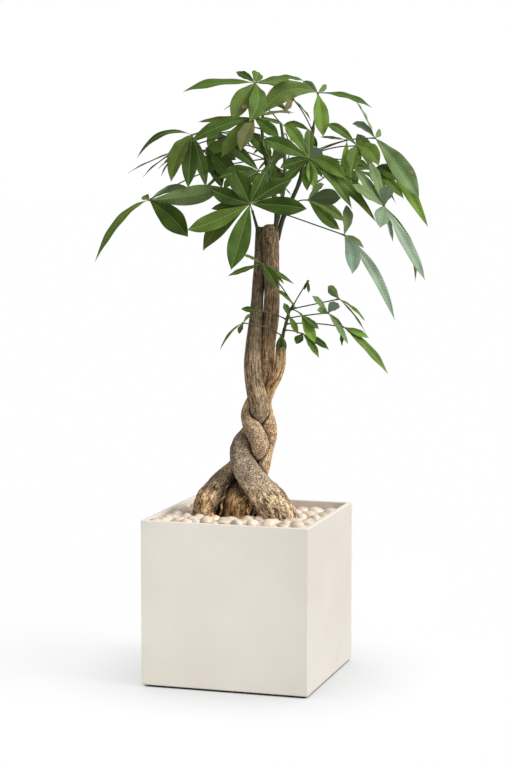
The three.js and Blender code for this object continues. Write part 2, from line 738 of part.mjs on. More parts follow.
function buildTree() {
  const group = new THREE.Group();
  const cutters = [];
  const sockets = SHOOTS.map(socketOf);
  for (const path of STEMS) {
    const steps = Math.round(STEM_STEPS * (path.stations.length - 1));
    let stem = tube(path.stations, STEM_SIDES, steps);
    for (const cutter of cutters) stem = stem.subtract(cutter);
    for (const socket of sockets) stem = stem.subtract(socket);
    cutters.push(tube(path.stations, STEM_SIDES, steps, GAP * STEM_SHARE));
    group.add(meshOf(path.name, stem, FINISH.bark));
  }
  const inner = INNER_WIDTH - 2 * GAP;
  let compost = squareBlock(inner, FLOOR + GAP, COMPOST_TOP, CORNER_RADIUS);
  let bed = pebbleBed();
  for (const cutter of cutters) {
    compost = compost.subtract(cutter);
    bed = bed.subtract(cutter);
  }
  group.add(meshOf('planter', planterSolid(), FINISH.planter));
  group.add(meshOf('compost', compost, FINISH.compost));
  group.add(meshOf('pebble_bed', bed, FINISH.pebbles));
  SHOOTS.forEach((shoot, index) => {
    group.add(meshOf(shoot.name, shootSolid(shoot, index + 1), FINISH.leaf));
  });
  return group;
}

export default buildTree();
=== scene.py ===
# A potted money tree: a satin square planter, pebbles, three braided woody stems and leafy shoots.
# Metres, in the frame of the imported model: the planter's underside is centred on the origin.

import math

import bmesh
import bpy
import numpy as np
from mathutils import Matrix, Vector, noise
from mathutils.kdtree import KDTree


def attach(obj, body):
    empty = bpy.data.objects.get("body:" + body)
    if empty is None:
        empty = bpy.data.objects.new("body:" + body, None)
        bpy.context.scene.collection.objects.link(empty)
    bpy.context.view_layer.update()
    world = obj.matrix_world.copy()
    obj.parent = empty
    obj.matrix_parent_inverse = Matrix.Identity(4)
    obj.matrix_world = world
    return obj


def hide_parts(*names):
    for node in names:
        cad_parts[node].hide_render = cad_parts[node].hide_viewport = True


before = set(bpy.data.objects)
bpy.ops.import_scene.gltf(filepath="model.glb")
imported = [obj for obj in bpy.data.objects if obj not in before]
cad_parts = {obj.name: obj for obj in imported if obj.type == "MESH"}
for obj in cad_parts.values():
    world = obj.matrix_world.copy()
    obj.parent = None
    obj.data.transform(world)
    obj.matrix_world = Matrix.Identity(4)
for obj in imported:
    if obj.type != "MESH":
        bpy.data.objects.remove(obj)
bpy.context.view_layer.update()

MM = 0.001

# ---------------------------------------------------------------- the camera, and places read off the picture
# Stems and leaves are placed by their pixel in the 512 x 768 picture and by their depth, which is
# how many millimetres they stand behind the plane through the planter's middle that faces the eye.
PICTURE_HEIGHT = 768
CENTRE_X = 256
CENTRE_Y = 384
FOCAL = 2102
SENSOR = 36
EYE = np.array([1.449, -4.693, 1.210])
YAW = math.radians(16.97)
PITCH = math.radians(6.02)
AHEAD = np.array([-math.sin(YAW) * math.cos(PITCH), math.cos(YAW) * math.cos(PITCH), -math.sin(PITCH)])
RIGHTWARD = np.array([math.cos(YAW), math.sin(YAW), 0.0])
UPWARD = np.cross(RIGHTWARD, AHEAD)
AWAY = np.array([-math.sin(YAW), math.cos(YAW), 0.0])
SKYWARD = np.array([0.0, 0.0, 1.0])


def place(x, y, depth):
    """The point that shows at a pixel and stands at a depth."""
    ray = AHEAD + RIGHTWARD * (x - CENTRE_X) / FOCAL + UPWARD * (CENTRE_Y - y) / FOCAL
    reach = (depth * MM - EYE @ AWAY) / (ray @ AWAY)
    return EYE + ray * reach


def off_mark(points, x, y, wide, high):
    """How far points show from a pixel, in shares of a mark's two radii."""
    ray = points - EYE
    reach = ray @ AHEAD
    seen_x = CENTRE_X + FOCAL * (ray @ RIGHTWARD) / reach
    seen_y = CENTRE_Y - FOCAL * (ray @ UPWARD) / reach
    return np.hypot((seen_x - x) / wide, (seen_y - y) / high)


def run_of(*rows):
    """Stations along a stem or shoot, each a pixel, a depth and a radius in millimetres."""
    return [{"place": place(x, y, depth), "radius": radius * MM} for x, y, depth, radius in rows]


def blade(tip_x, tip_y, lean, width, turn, arch, tone, swing=0, spot=None):
    """A leaflet: its tip's pixel, its lean away from the eye (degrees), width, turn about its own
    length, arch, tone, sideways bow as seen (clockwise of its chord), and the pixel and radii of a
    dead spot, if it has one."""
    return {
        "tip": (tip_x, tip_y), "lean": math.radians(lean), "width": width * MM, "turn": math.radians(turn),
        "arch": arch * MM, "tone": tone, "swing": swing * MM, "spot": spot,
    }


def leaf(start, hub_x, hub_y, hub_depth, arch, *rows):
    """A leaf: where its stalk leaves the shoot (0 foot, 1 top), its hub, its stalk's arch, its leaflets."""
    return {
        "start": start, "hub": place(hub_x, hub_y, hub_depth), "hub_depth": hub_depth, "arch": arch * MM,
        "blades": [blade(*row) for row in rows],
    }


def fan(start, hub_x, hub_y, hub_depth, arch, turn, length, droop, count):
    """A leaf that the picture doesn't show singly, with its leaflets spread round an outward side."""
    return leaf(start, hub_x, hub_y, hub_depth, arch) | {
        "turn": math.radians(turn), "length": length * MM, "droop": math.radians(droop), "count": count,
    }


STEM_LEFT = run_of(
    (261.0, 227.6, 12, 8), (261.0, 229.0, 12, 12), (260.5, 245, 12, 13.5), (259.5, 270, 10, 14),
    (257.3, 300, 4, 14.6), (255.2, 325, -2, 16.4), (253.4, 345, -7, 18), (252.6, 365, -9, 19.6),
    (254.2, 382, -7, 21), (257.6, 398, -13, 23), (259.8, 411, -12, 23), (258.0, 424, 6, 19),
    (247.0, 436, 12, 20), (240.4, 447, -8, 23.5), (242.2, 461, -24, 27.5), (251.5, 478, -36, 32.5),
    (263.5, 494, -46, 37), (274.5, 509, -58, 39), (284.0, 524, -66, 35), (291.0, 540, -70, 26),
)
STEM_RIGHT = run_of(
    (270.6, 224.3, -8, 9), (270.6, 226.2, -8, 15), (270.6, 231, -8, 18.5), (270.8, 250, -8, 19),
    (271.6, 275, -8, 18.2), (272.0, 300, -2, 18), (270.4, 322, 6, 19), (267.8, 342, 14, 19),
    (267.0, 362, 16, 18.4), (266.0, 377, 16, 16.5), (261.0, 390, 22, 15), (253.0, 401, 18, 16.5),
    (248.4, 413, 4, 17.5), (251.0, 425, -16, 20), (256.8, 436, -27, 21), (259.8, 444, -23, 21),
    (256.6, 451.5, -7, 20.5), (248.5, 458, 14, 21.5), (238.5, 467.5, 24, 25), (227.5, 480, 17, 31),
    (217.0, 493.5, 4, 36), (210.0, 507, -8, 37), (207.0, 522, -14, 32), (203.0, 538, -12, 22),
)
STEM_SHORT = run_of(
    (280.6, 347.5, -8, 8), (280.6, 349.0, -8, 11.4), (280.6, 354, -8, 12.6), (279.8, 365, -8, 12.8),
    (276.4, 377, -6, 12.6), (270.6, 389, 2, 12.8), (266.0, 401, 8, 14), (266.6, 413, 0, 16),
    (269.2, 425, -8, 17.5), (269.6, 435, -1, 17.5), (267.4, 445, 9, 18), (264.4, 454, 9, 19.5),
    (262.6, 463.5, 3, 20.5), (257.0, 476, 6, 26), (248.0, 489, 2, 34), (240.6, 503, -16, 43),
    (238.0, 518, -28, 42), (236.5, 536, -32, 26),
)

# ---------------------------------------------------------------- the green shoots and their leaves
# Each shoot: its name, its stations and its leaves. A leaf's rows are its leaflets, as blade() reads them.
SHOOTS = [
    ("shoot_front", run_of(
        (258.6, 240, 4, 5), (257, 228, 2, 4), (254.6, 219, -12, 3.2), (252.4, 211, -50, 2.8),
    ), [
        leaf(1, 250, 204, -150, 0,
            (187, 230, -12, 42, 10, -6, "leaf"), (203, 251, 12, 40, 12, 6, "olive", 10),
            (231, 270, -18, 49, 8, 0, "leaf"), (307, 209, 4, 42, -6, 3, "deep"),
            (292, 180, 12, 34, -10, 6, "deep"), (265, 172, 24, 38, 10, 0, "deep"),
            (234, 171, 20, 48, 5, 0, "deep"), (210, 189, 12, 38, 20, -3, "deep"),
            (211, 209, 24, 22, 20, 2, "olive")),
    ]),
    ("shoot_upper_left", run_of(
        (274.0, 240, -14, 5.5), (275.8, 226, -16, 5.5), (276.2, 212, -18, 5), (273, 194, -18, 4.6),
        (268, 172, -14, 4.2), (264, 148, -8, 3.8), (262, 128, -6, 3.4), (263, 112, -6, 3),
    ), [
        leaf(1, 255, 83, -20, 6,
            (183, 92, -8, 32, 58, 10, "leaf"), (236, 72, 40, 20, 40, 3, "deep"),
            (258, 72, 58, 30, 10, 2, "leaf"), (232, 121, -28, 46, 5, 8, "olive", 0, (245, 107, 3, 2)),
            (249, 122, -36, 46, -8, 8, "leaf", -14), (302, 90, 24, 30, -40, 8, "olive"),
            (304, 81, -10, 22, -58, 9, "leaf")),
        leaf(0.85, 192, 135, -40, 14,
            (137, 158, -5, 16, 46, 30, "deep"), (171, 182, -22, 42, 18, 16, "olive", 5),
            (188, 188, -20, 37, -10, 8, "deep"), (206, 187, -8, 32, -22, 8, "leaf")),
        leaf(0.78, 186, 148, 40, 12,
            (128, 173, 6, 18, 86, 4, "deep"), (143, 177, -6, 20, 82, 9, "deep"),
            (161, 176, -22, 18, 80, 10, "deep"), (214, 176, 20, 34, 30, 6, "deep")),
        leaf(0.66, 149, 200, -90, 16,
            (95, 262, -10, 21, 36, 30, "olive"), (188, 237, -16, 52, 5, 4, "deep", -3),
            (143, 196, 58, 20, 20, 0, "olive"), (187, 187, 40, 17, 20, 9, "pale"),
            (223, 187, 8, 44, 10, -2, "olive", 5)),
        leaf(0.92, 254, 118, -70, 4,
            (191, 142, -6, 34, 24, 10, "leaf"), (240, 151, -30, 36, 10, 6, "dry"),
            (221, 158, -10, 36, 20, 8, "olive"), (284, 125, 12, 15, -40, 3, "deep"),
            (279, 137, -14, 28, -15, 2, "leaf"), (294, 113, 20, 16, -50, 6, "dry"),
            (198, 122, 24, 16, 40, 2, "olive")),
        leaf(0.55, 259, 171, -75, 4,
            (226, 143, -6, 28, 20, 4, "deep"), (219, 178, -14, 34, 20, 6, "deep"),
            (238, 186, -30, 36, 20, 4, "deep")),
        leaf(0.6, 271, 162, -60, 4,
            (248, 132, 10, 30, 20, 4, "leaf"), (263, 138, 16, 22, 35, 4, "fresh"),
            (290, 142, 12, 36, 25, 4, "leaf"), (267, 190, -24, 40, -18, 4, "deep"),
            (282, 196, -12, 40, -20, 4, "deep")),
        leaf(0.7, 207, 148, -10, 10,
            (236, 182, -10, 44, -15, 4, "leaf"), (222, 188, -10, 34, -12, 4, "deep"),
            (224, 150, -20, 34, -20, 4, "fresh"), (236, 160, 20, 40, 25, 4, "deep")),
    ]),
    ("shoot_upper_right", run_of(
        (277.4, 240, 0, 6), (280.6, 226, -2, 6), (285.0, 213, -2, 5.6), (293, 197, 0, 5.2),
        (300, 180, 4, 4.8), (304, 160, 6, 4.4), (311, 142, 8, 3.8), (313.5, 126, 10, 3),
    ), [
        leaf(1, 318, 93, 10, 4,
            (303, 81, 30, 22, 20, 0, "pale"), (327, 85, 40, 15, 20, 1, "pale"),
            (262, 115, -20, 47, 8, 20, "broad", 12), (323, 137, -24, 38, -12, 4, "fresh"),
            (372, 108, -8, 24, -58, 10, "leaf")),
        leaf(0.96, 311, 132, -10, 1,
            (283, 126, 4, 16, 30, 10, "leaf"), (317, 148, -10, 15, 20, 0, "leaf")),
        leaf(0.95, 293, 99, 40, 6,
            (311, 121, -10, 20, -70, 3, "leaf"), (285, 111, -20, 16, -10, 2, "tan")),
        leaf(0.74, 375, 138, 30, 10,
            (352, 124, 24, 21, 30, 10, "teal"), (381, 131, 58, 18, 20, 2, "pale"),
            (355, 100, 18, 26, 78, 4, "pale"),
            (419, 199, -20, 47, -20, 7, "pale", -3, (412, 172, 2.2, 1.6)),
            (428, 227, 6, 29, -20, 8, "bright")),
        leaf(0.72, 357, 146, -30, 8,
            (326, 125, -6, 22, 12, 10, "leaf"), (379, 166, -24, 40, -18, 14, "fresh"),
            (351, 172, -34, 36, -12, 8, "leaf")),
        leaf(0.73, 347, 140, -40, 3,
            (320, 137, 6, 10, 52, 1, "deep"), (344, 178, -14, 20, 15, 0, "bright")),
        leaf(0.7, 372, 170, 50, 14,
            (357, 134, 6, 38, 25, 6, "olive"), (404, 182, -14, 38, -14, 12, "leaf"),
            (404, 199, -22, 24, -20, 8, "fresh"), (349, 166, -12, 30, 30, 6, "leaf")),
        leaf(0.64, 384, 206, -60, 26,
            (354, 168, 8, 24, 30, 1, "pale"), (369, 161, 14, 28, 25, 6, "pale"),
            (389, 186, -58, 34, 10, 4, "silver"), (380, 228, -56, 38, -8, 4, "teal"),
            (425, 280, -10, 28, -18, 6, "silver"), (393, 242, -8, 14, -40, 4, "silver"),
            (352, 184, -8, 28, 30, 0, "pale"), (415, 282, 14, 15, 30, 4, "bright", -21)),
        leaf(0.56, 309, 159, -50, 2,
            (346, 180, -12, 34, -14, 14, "fresh"), (352, 209, -10, 30, -22, 16, "leaf"),
            (376, 222, -4, 26, -26, 18, "leaf"), (314, 189, -30, 26, -20, 4, "fresh"),
            (307, 191, -30, 27, 15, 3, "leaf"), (322, 150, -48, 27, 15, 2, "teal"),
            (309, 129, 18, 26, 30, 6, "leaf"), (284, 126, 8, 30, 20, 12, "fresh"),
            (262, 140, -12, 36, 20, 6, "leaf"), (281, 186, -30, 26, 25, 3, "deep"),
            (280, 168, -16, 28, 15, 2, "deep")),
        leaf(0.34, 308, 200, -110, 4,
            (341, 198, -34, 38, 5, 4, "deep"), (340, 230, -18, 26, -16, -3, "leaf"),
            (345, 222, -6, 28, -25, 6, "olive"), (324, 184, 22, 24, 40, 4, "deep")),
        leaf(0.28, 344, 235, -70, 0,
            (346, 205, 24, 27, 20, 2, "pale", 5), (352, 274, -26, 35, -8, 2, "silver", -10),
            (395, 321, -8, 24, -18, 24, "silver", -3), (364, 248, 30, 16, -30, 4, "pale")),
    ]),
    ("shoot_back", run_of(
        (272.5, 240, 6, 5.5), (275.5, 226, 10, 5.5), (279.5, 212, 22, 5), (283, 192, 44, 4.6),
        (285, 170, 66, 4.2), (284, 146, 84, 3.8), (281, 124, 96, 3.2),
    ), [
        fan(1, 258, 103, 110, 6, 100, 100, 12, 5),
        fan(0.9, 288, 140, 210, 10, 90, 112, 24, 5),
        fan(0.82, 219, 133, 195, 16, 125, 116, 22, 4),
        fan(0.72, 350, 168, 180, 22, 30, 150, 34, 5),
        fan(0.64, 206, 150, 170, 20, 150, 130, 20, 4),
        fan(0.5, 290, 153, 230, 14, 80, 130, 26, 4),
        fan(0.4, 250, 172, 225, 16, 108, 145, 24, 4),
    ]),
    ("shoot_side", run_of(
        (280.6, 353, -4, 4.4), (281.4, 344, -6, 4.4), (283.4, 333, -12, 3.8), (286.6, 321, -16, 3.4),
        (289.4, 311, -18, 3), (293.5, 305, -20, 2.6),
    ), [
        leaf(1, 262, 264, -52, 6,
            (242, 255, -8, 12, 60, 3, "olive"), (228, 276, -6, 15, 36, 1, "leaf"),
            (277, 288, -12, 30, -12, 3, "deep"), (284, 284, 10, 14, 50, 3, "olive"),
            (294, 284, 2, 13, -50, 0, "leaf")),
        leaf(0.84, 339, 299, -34, 0,
            (328, 286, -20, 22, 10, 2, "leaf"), (365, 321, -8, 18, -55, 5, "olive"),
            (366, 334, 8, 13, -76, 7, "deep")),
        leaf(0.66, 328, 313, -70, 1,
            (312, 296, -8, 18, 40, 3, "pale"), (317, 310, -46, 18, 20, 2, "pale"),
            (338, 303, -50, 26, 15, 2, "silver"), (348, 344, -12, 19, -34, 3, "pale"),
            (343, 327, -6, 9, 40, 2, "leaf")),
        leaf(0.55, 343, 327, -20, 4,
            (342, 346, -10, 14, 50, 3, "leaf"), (369, 338, -4, 18, -40, 1, "bright"),
            (388, 374, -6, 22, -30, 10, "fresh")),
        leaf(0.84, 301, 314, -90, 2,
            (315, 343, -10, 26, -20, 2, "bright"), (319, 329, -16, 17, -25, -1, "deep")),
        leaf(0.45, 303, 334, -50, 2,
            (296, 344, -30, 22, 10, 1, "deep"), (319, 358, -6, 18, -35, 4, "fresh"),
            (329, 350, -4, 18, -35, 4, "deep")),
        leaf(0.98, 308, 281, -12, 1,
            (309, 293, -20, 9, 25, 1, "bright"), (304, 290, 14, 8, 40, 1, "bright")),
        leaf(0.35, 243, 323, -60, 6,
            (220, 350, -6, 9, 40, 11, "olive"), (239, 334, -20, 15, 30, 1, "leaf"),
            (251, 314, 6, 9, 30, 2, "leaf")),
        leaf(0.74, 289, 316, -34, 0,
            (298, 334, -16, 15, 12, 2, "bright"), (284, 303, 8, 15, 20, 1, "leaf")),
        leaf(0.86, 296, 308, -30, 1,
            (275, 290, 6, 10, 30, 7, "olive")),
        leaf(0.62, 259, 311, -44, 3,
            (241, 309, -8, 14, 20, 1, "deep")),
        leaf(0.16, 281, 335, -26, 0,
            (277, 352, -12, 12, 14, 1, "deep"), (286, 350, -4, 11, 14, 1, "leaf")),
    ]),
]

# ---------------------------------------------------------------- sizes
PLANTER_HALF = 0.200
PLANTER_HEIGHT = 0.390
WALL = 0.012
FLOOR = 0.014
FOOT_HEIGHT = 0.005
FOOT_INSET = 0.010
FOOT_BEVEL = 0.001
CORNER_RADIUS = 0.0025
CORNER_STEPS = 5
RIM_RADIUS = 0.0016
RIM_STEPS = 6
# Heights of the painted highlight on the rim's top and of the painted shadow on the foot.
RIM_HIGHLIGHT_EDGE = (PLANTER_HEIGHT - 0.0012, PLANTER_HEIGHT - 0.0002)
FOOT_SHADOW_EDGE = (FOOT_HEIGHT + 0.0008, FOOT_HEIGHT - 0.0002)

PEBBLE_BASE = 0.364
PEBBLE_RISE = 0.019
PEBBLE_LIFT = 0.007
PEBBLE_PITCH = 0.036
PEBBLE_LENGTH = 0.037
PEBBLE_HEIGHT = 0.022
PEBBLE_TILT = math.radians(26)
PEBBLE_STRAY = 0.34
ROW_SHIFT = 0.12
LAYER_DROP = 0.006
SETTLE_ROUNDS = 30
SETTLE_LEVEL = 0.385
PEBBLES_APART = 0.62
STEM_APART = 0.72
WALL_GAP = 0.0005

BLADE_THICKNESS = 0.0006
BLADE_FOLD = 0.22
BLADE_TWIST = math.radians(14)
BLADE_WAVE = 0.055
BLADE_FOOT = 0.0007
BLADE_TIP = 0.0002
CREST_SHARE = 0.58
SHORT_BLADE = 0.10
SHORT_GRID = (16, 8)
LONG_GRID = (26, 10)
FAN_WIDTH = 0.28
FAN_ARCH = 0.1
FAN_SPREAD = math.radians(250)
FAN_STRAY = math.radians(14)
VEIN_PITCH = 0.0075
KNOB_SIZE = (0.0036, 0.0036, 0.0026)
STALK_RADIUS = 0.0015
FOOT_CUSHION = 0.007
HUB_CUSHION = 0.006
STALK_STEPS = 25
STALK_SIDES = 8
SHOOT_STEPS = 12
SHOOT_SIDES = 12
SHOOT_MARKS = 41

STEM_SIDES = 112
STEM_PITCH = 0.0015
GAP_STEPS = 260
SLICE_STEPS = 400
ROOTLETS = 34
ROOTLET_SIDES = 8
ROOTLET_TOP = 0.452
ROOTLET_END = 0.372
ROOTLET_RADIUS = 0.0011
ROOTLET_GROWTH = 0.0016
ROOTLET_CLEAR = 0.0008

# The bark's relief: how far each pattern stands out, and the grain of its noise.
RIDGE, RIDGE_GRAIN = 0.0011, (1.3, 1.3, 16)
STREAK, STREAK_GRAIN = 0.00035, (330, 330, 22)
GRIT, GRIT_GRAIN = 0.0006, 150
FIBRE, FIBRE_GRAIN = 0.0014, (150, 150, 17)
LOBE, LOBE_GRAIN = 0.0056, (2.5, 2.5, 12)
LOBE_SINK = 0.0018
ROOT_GRIT = 0.0009
# The grain of the patches of painted shade at the pebble line.
PEBBLE_LINE_SHADE_GRAIN = 75
# Painted shade in the grooves beside another stem: how dark the deepest is, and the gap at which it starts.
PAINTED_GROOVE_SHADE = 0.09
GROOVE_START = 0.0002
# Heights at which each zone of a stem's relief and painted shade begins and is full, from above.
LOW_BARK = (0.66, 0.52)
DEEP_GROOVES = (0.53, 0.47)
ROOT = (0.475, 0.425)
ROOT_FOOT = (0.440, 0.385)
PEBBLE_LINE_SHADE_ZONE = (0.420, 0.390)
# The same for the colours of the bark.
TAN_BARK = (0.87, 0.80)
GREY_BARK = (0.70, 0.62)
ROOT_BARK = (0.53, 0.49)

# Small dark leaf scars on the taller stem's top, by pixel, and their radii and depth.
SCARS = (
    (265.0, 235.6), (266.9, 238.0), (270.6, 235.0), (272.3, 237.5),
    (265.2, 239.6), (266.4, 242.0), (268.2, 243.2), (270.2, 244.3),
)
SCAR_RADII = (1.1, 0.8)
SCAR_DEPTH = 0.0006

# Each woody stem: its stations, seed, tints of its body and root, soft bands of painted shade (strength,
# height and spread) and scars.
STEMS = {
    "stem_left": (STEM_LEFT, 3, (1.0, 1.0, 1.0), (1.20, 1.15, 1.08), [(0.20, 0.535, 0.045)], ()),
    "stem_right": (STEM_RIGHT, 11, (1.42, 1.33, 1.24), (1.34, 1.16, 0.96), [(0.5, 0.468, 0.024)], SCARS),
    "stem_short": (STEM_SHORT, 23, (1.66, 1.50, 1.30), (1.50, 1.17, 0.74), [], ()),
}

# The studio: a broad key light from the picture's right, a soft surround, and low lights near the floor
# (turn about the planter, sideways offset, power). The floor glows, less so close to the planter.
KEY_SIDE = (3.4, -0.1, 2.7)
KEY_POWER = 2.82
KEY_SPREAD = 36
SURROUND_SIDE = (1.0, -0.25, 0.5)
SURROUND_LEVELS = (0.05, 0.76)
LOW_LIGHTS = ((0, -0.36, 52), (180, -0.06, 22), (270, -0.06, 26))
LOW_AWAY = 1.6
LOW_HEIGHT = 0.03
LOW_SPREAD = 37
LOW_BLEND = 0.12
LOW_SIZE = 0.1
FLOOR_REACH = 60
FLOOR_GREY = 0.12
FLOOR_GLOW = 0.87
FLOOR_BOUNCE = 0.23
FLOOR_CONTACT = 0.42
CONTACT_REACH = 0.26

# Colours as 0 to 255 display values: the tops of the leaflets by tone, and then the rest.
# Some tones are partly painted light: deep is partly painted shade, bright partly painted light shining
# through a leaflet, and pale, teal and silver partly a paler underside and partly painted sheen.
TONES = {
    "olive": (97, 117, 50), "leaf": (81, 107, 41), "deep": (63, 86, 28), "fresh": (106, 134, 54),
    "bright": (124, 160, 64), "broad": (99, 120, 55), "pale": (116, 140, 90), "teal": (142, 164, 132),
    "silver": (154, 176, 150), "dry": (108, 110, 68), "tan": (168, 150, 118),
}
DEAD_TONE = (196, 160, 128)
UNDERSIDE_TONE = (150, 166, 128)
RIB_TONE = (150, 168, 100)
KNOB_TONE = (112, 128, 62)
STALK_TONE = (74, 84, 40)
SHOOT_TONE = (86, 92, 46)
PEBBLE_TONE = (238, 224, 208)
CLOUD_TONE = (206, 182, 150)
PLANTER_TONES = ((221, 213, 201), (225, 218, 207))
# A painted highlight for the rim's top and painted shadow for the recessed foot.
RIM_HIGHLIGHT_TONE = (248, 242, 232)
FOOT_SHADOW_TONE = (52, 48, 42)
COMPOST_TONES = ((26, 18, 12), (74, 54, 38))
# Bark, from the top down to the roots: the dark and the light of each zone.
UPPER_TONES = ((92, 76, 56), (176, 154, 124))
MIDDLE_TONES = ((108, 82, 54), (236, 206, 166))
GREY_TONES = ((84, 66, 48), (226, 202, 172))
ROOT_TONES = ((92, 64, 38), (246, 222, 188))

# Primes that scramble the cells of the noise.
CELL_PRIMES = (73856093, 19349663, 83492791)
SEED_PRIME = 7919
SCRAMBLE_PRIME = 1274126177


def linear(colour):
    """A display colour, 0 to 255, as linear light."""
    share = np.array(colour, float) / 255
    return np.where(share <= 0.04045, share / 12.92, ((share + 0.055) / 1.055) ** 2.4)


def draw(number):
    """A repeatable draw between 0 and 1 for each number."""
    wave = math.sin(number * 12.9898) * 43758.5453
    return wave - math.floor(wave)


def field(points, seed):
    """Smooth repeatable noise between -1 and 1 at each point of an array."""
    points = np.asarray(points, float)
    cell = np.floor(points).astype(np.int64)
    part = points - cell
    ease = part * part * (3 - 2 * part)
    total = np.zeros(points.shape[:-1])
    for corner in np.ndindex(2, 2, 2):
        x, y, z = np.moveaxis((cell + np.array(corner)) * CELL_PRIMES, -1, 0)
        code = x ^ y ^ z ^ (seed * SEED_PRIME)
        code = ((code ^ (code >> 13)) & 0xFFFFFFF) * SCRAMBLE_PRIME
        code = (code ^ (code >> 15)) & 0xFFFF
        total += np.prod(np.where(corner, ease, 1 - ease), axis=-1) * code
    return total / 32767.5 - 1


def layered(points, seed, octaves=3):
    """Noise with finer layers on top, each twice as fine and half as strong."""
    points = np.asarray(points, float)
    return sum(field(points * 2**k, seed + k) / 2**k for k in range(octaves))


def ramp(value, low, high):
    """A smooth share from 0 at low to 1 at high."""
    share = np.clip((value - low) / (high - low), 0, 1)
    return share * share * (3 - 2 * share)


def unit(vector):
    return vector / np.linalg.norm(vector)


def units(vectors):
    return vectors / np.linalg.norm(vectors, axis=1)[:, None]


# ---------------------------------------------------------------- runs along a curve
def through(values, shares):
    """Points and slopes at the shares (0 to 1) of a smooth curve through the values."""
    values = np.asarray(values, float)
    values = np.vstack([2 * values[0] - values[1], values, 2 * values[-1] - values[-2]])
    spans = len(values) - 3
    spot = np.clip(np.asarray(shares, float), 0, 1) * spans
    first = np.minimum(spot.astype(int), spans - 1)
    t = (spot - first)[:, None]
    a, b, c, d = (values[first + k] for k in range(4))
    pull, bend, turn = c - a, 2 * a - 5 * b + 4 * c - d, 3 * b - a - 3 * c + d
    points = 0.5 * (2 * b + pull * t + bend * t**2 + turn * t**3)
    return points, 0.5 * (pull + 2 * bend * t + 3 * turn * t**2)


def run(stations, count):
    """Evenly numbered samples of a run: places, directions and radii."""
    shares = np.linspace(0, 1, count)
    places, slopes = through([s["place"] for s in stations], shares)
    radii = through([[s["radius"]] for s in stations], shares)[0][:, 0]
    return places, units(slopes), radii


def frames(slopes):
    """Two crosswise directions at each sample, which turn with the curve and don't twist about it."""
    side = np.array([1.0, 0, 0]) if abs(slopes[0][0]) <= 0.9 else np.array([0, 1.0, 0])
    sides = []
    for slope in slopes:
        side = unit(side - slope * (side @ slope))
        sides.append(side)
    sides = np.array(sides)
    return sides, np.cross(slopes, sides)


# ---------------------------------------------------------------- gathering a piece's mesh
def add_object(name, data):
    """A new object in the scene, made of a mesh, a light or a camera."""
    obj = bpy.data.objects.new(name, data)
    bpy.context.scene.collection.objects.link(obj)
    return obj


class Skin:
    """Gathers the points and faces of one piece, with values that its material reads."""

    def __init__(self):
        self.points, self.faces, self.tints, self.grains, self.unders, self.slots = [], [], [], [], [], []
        self.sharp = []
        self.count = 0

    def add(self, points, faces, tint, grain=(0, 0, 0), slot=0, under=None, sharp=()):
        points = np.asarray(points, float).reshape(-1, 3)
        self.points.append(points)
        self.faces += [[self.count + i for i in face] for face in faces]
        self.tints.append(np.broadcast_to(np.asarray(tint, float), points.shape))
        self.grains.append(np.broadcast_to(np.asarray(grain, float), points.shape))
        self.unders += under or [0.0] * len(faces)
        self.slots += [slot] * len(faces)
        self.sharp += [(self.count + a, self.count + b) for a, b in sharp]
        self.count += len(points)

    def piece(self, name, materials):
        mesh = bpy.data.meshes.new(name)
        mesh.from_pydata(np.vstack(self.points).tolist(), [], self.faces)
        rgba = np.hstack([np.vstack(self.tints), np.ones((self.count, 1))])
        for key, kind, domain, socket, values in (
            ("tint", "FLOAT_COLOR", "POINT", "color", rgba),
            ("grain", "FLOAT_VECTOR", "POINT", "vector", np.vstack(self.grains)),
            ("under", "FLOAT", "FACE", "value", np.array(self.unders)),
        ):
            attribute = mesh.attributes.new(key, kind, domain)
            attribute.data.foreach_set(socket, values.astype(np.float32).ravel())
        mesh.polygons.foreach_set("material_index", self.slots)
        mesh.polygons.foreach_set("use_smooth", [True] * len(mesh.polygons))
        if self.sharp:
            wanted = {tuple(sorted(pair)) for pair in self.sharp}
            flags = [tuple(sorted(edge.vertices)) in wanted for edge in mesh.edges]
            mesh.attributes.new("sharp_edge", "BOOLEAN", "EDGE").data.foreach_set("value", flags)
        for material in materials:
            mesh.materials.append(material)
        return add_object(name, mesh)


def tube_faces(rings, sides):
    """Faces of a tube of rings, closed at both ends."""
    faces = []
    for near in range(0, (rings - 1) * sides, sides):
        far = near + sides
        for i in range(sides):
            j = (i + 1) % sides
            faces.append([near + i, near + j, far + j, far + i])
    faces.append(list(range(sides))[::-1])
    faces.append([(rings - 1) * sides + i for i in range(sides)])
    return faces


def tube_points(places, slopes, radii, sides):
    """Points of a tube's rings, and the direction in which each stands off the tube's middle."""
    across, front = (directions[:, None] for directions in frames(slopes))
    angles = np.arange(sides) * 2 * math.pi / sides
    around = np.cos(angles)[None, :, None] * across + np.sin(angles)[None, :, None] * front
    return places[:, None] + around * radii[:, None, None], around


def ball_mesh(subdivisions):
    """Points and faces of a round ball of radius 1."""
    ball = bmesh.new()
    bmesh.ops.create_icosphere(ball, subdivisions=subdivisions, radius=1)
    points = np.array([v.co for v in ball.verts])
    faces = [[v.index for v in f.verts] for f in ball.faces]
    ball.free()
    return points, faces


# ---------------------------------------------------------------- leaves
def outline_at(u):
    """Half the outline's width along a leaflet: widest past its middle, drawn out to its tip."""
    v = u**1.2
    return (4 * v * (1 - v)) ** np.where(v < 0.5, 0.95, 1.2)


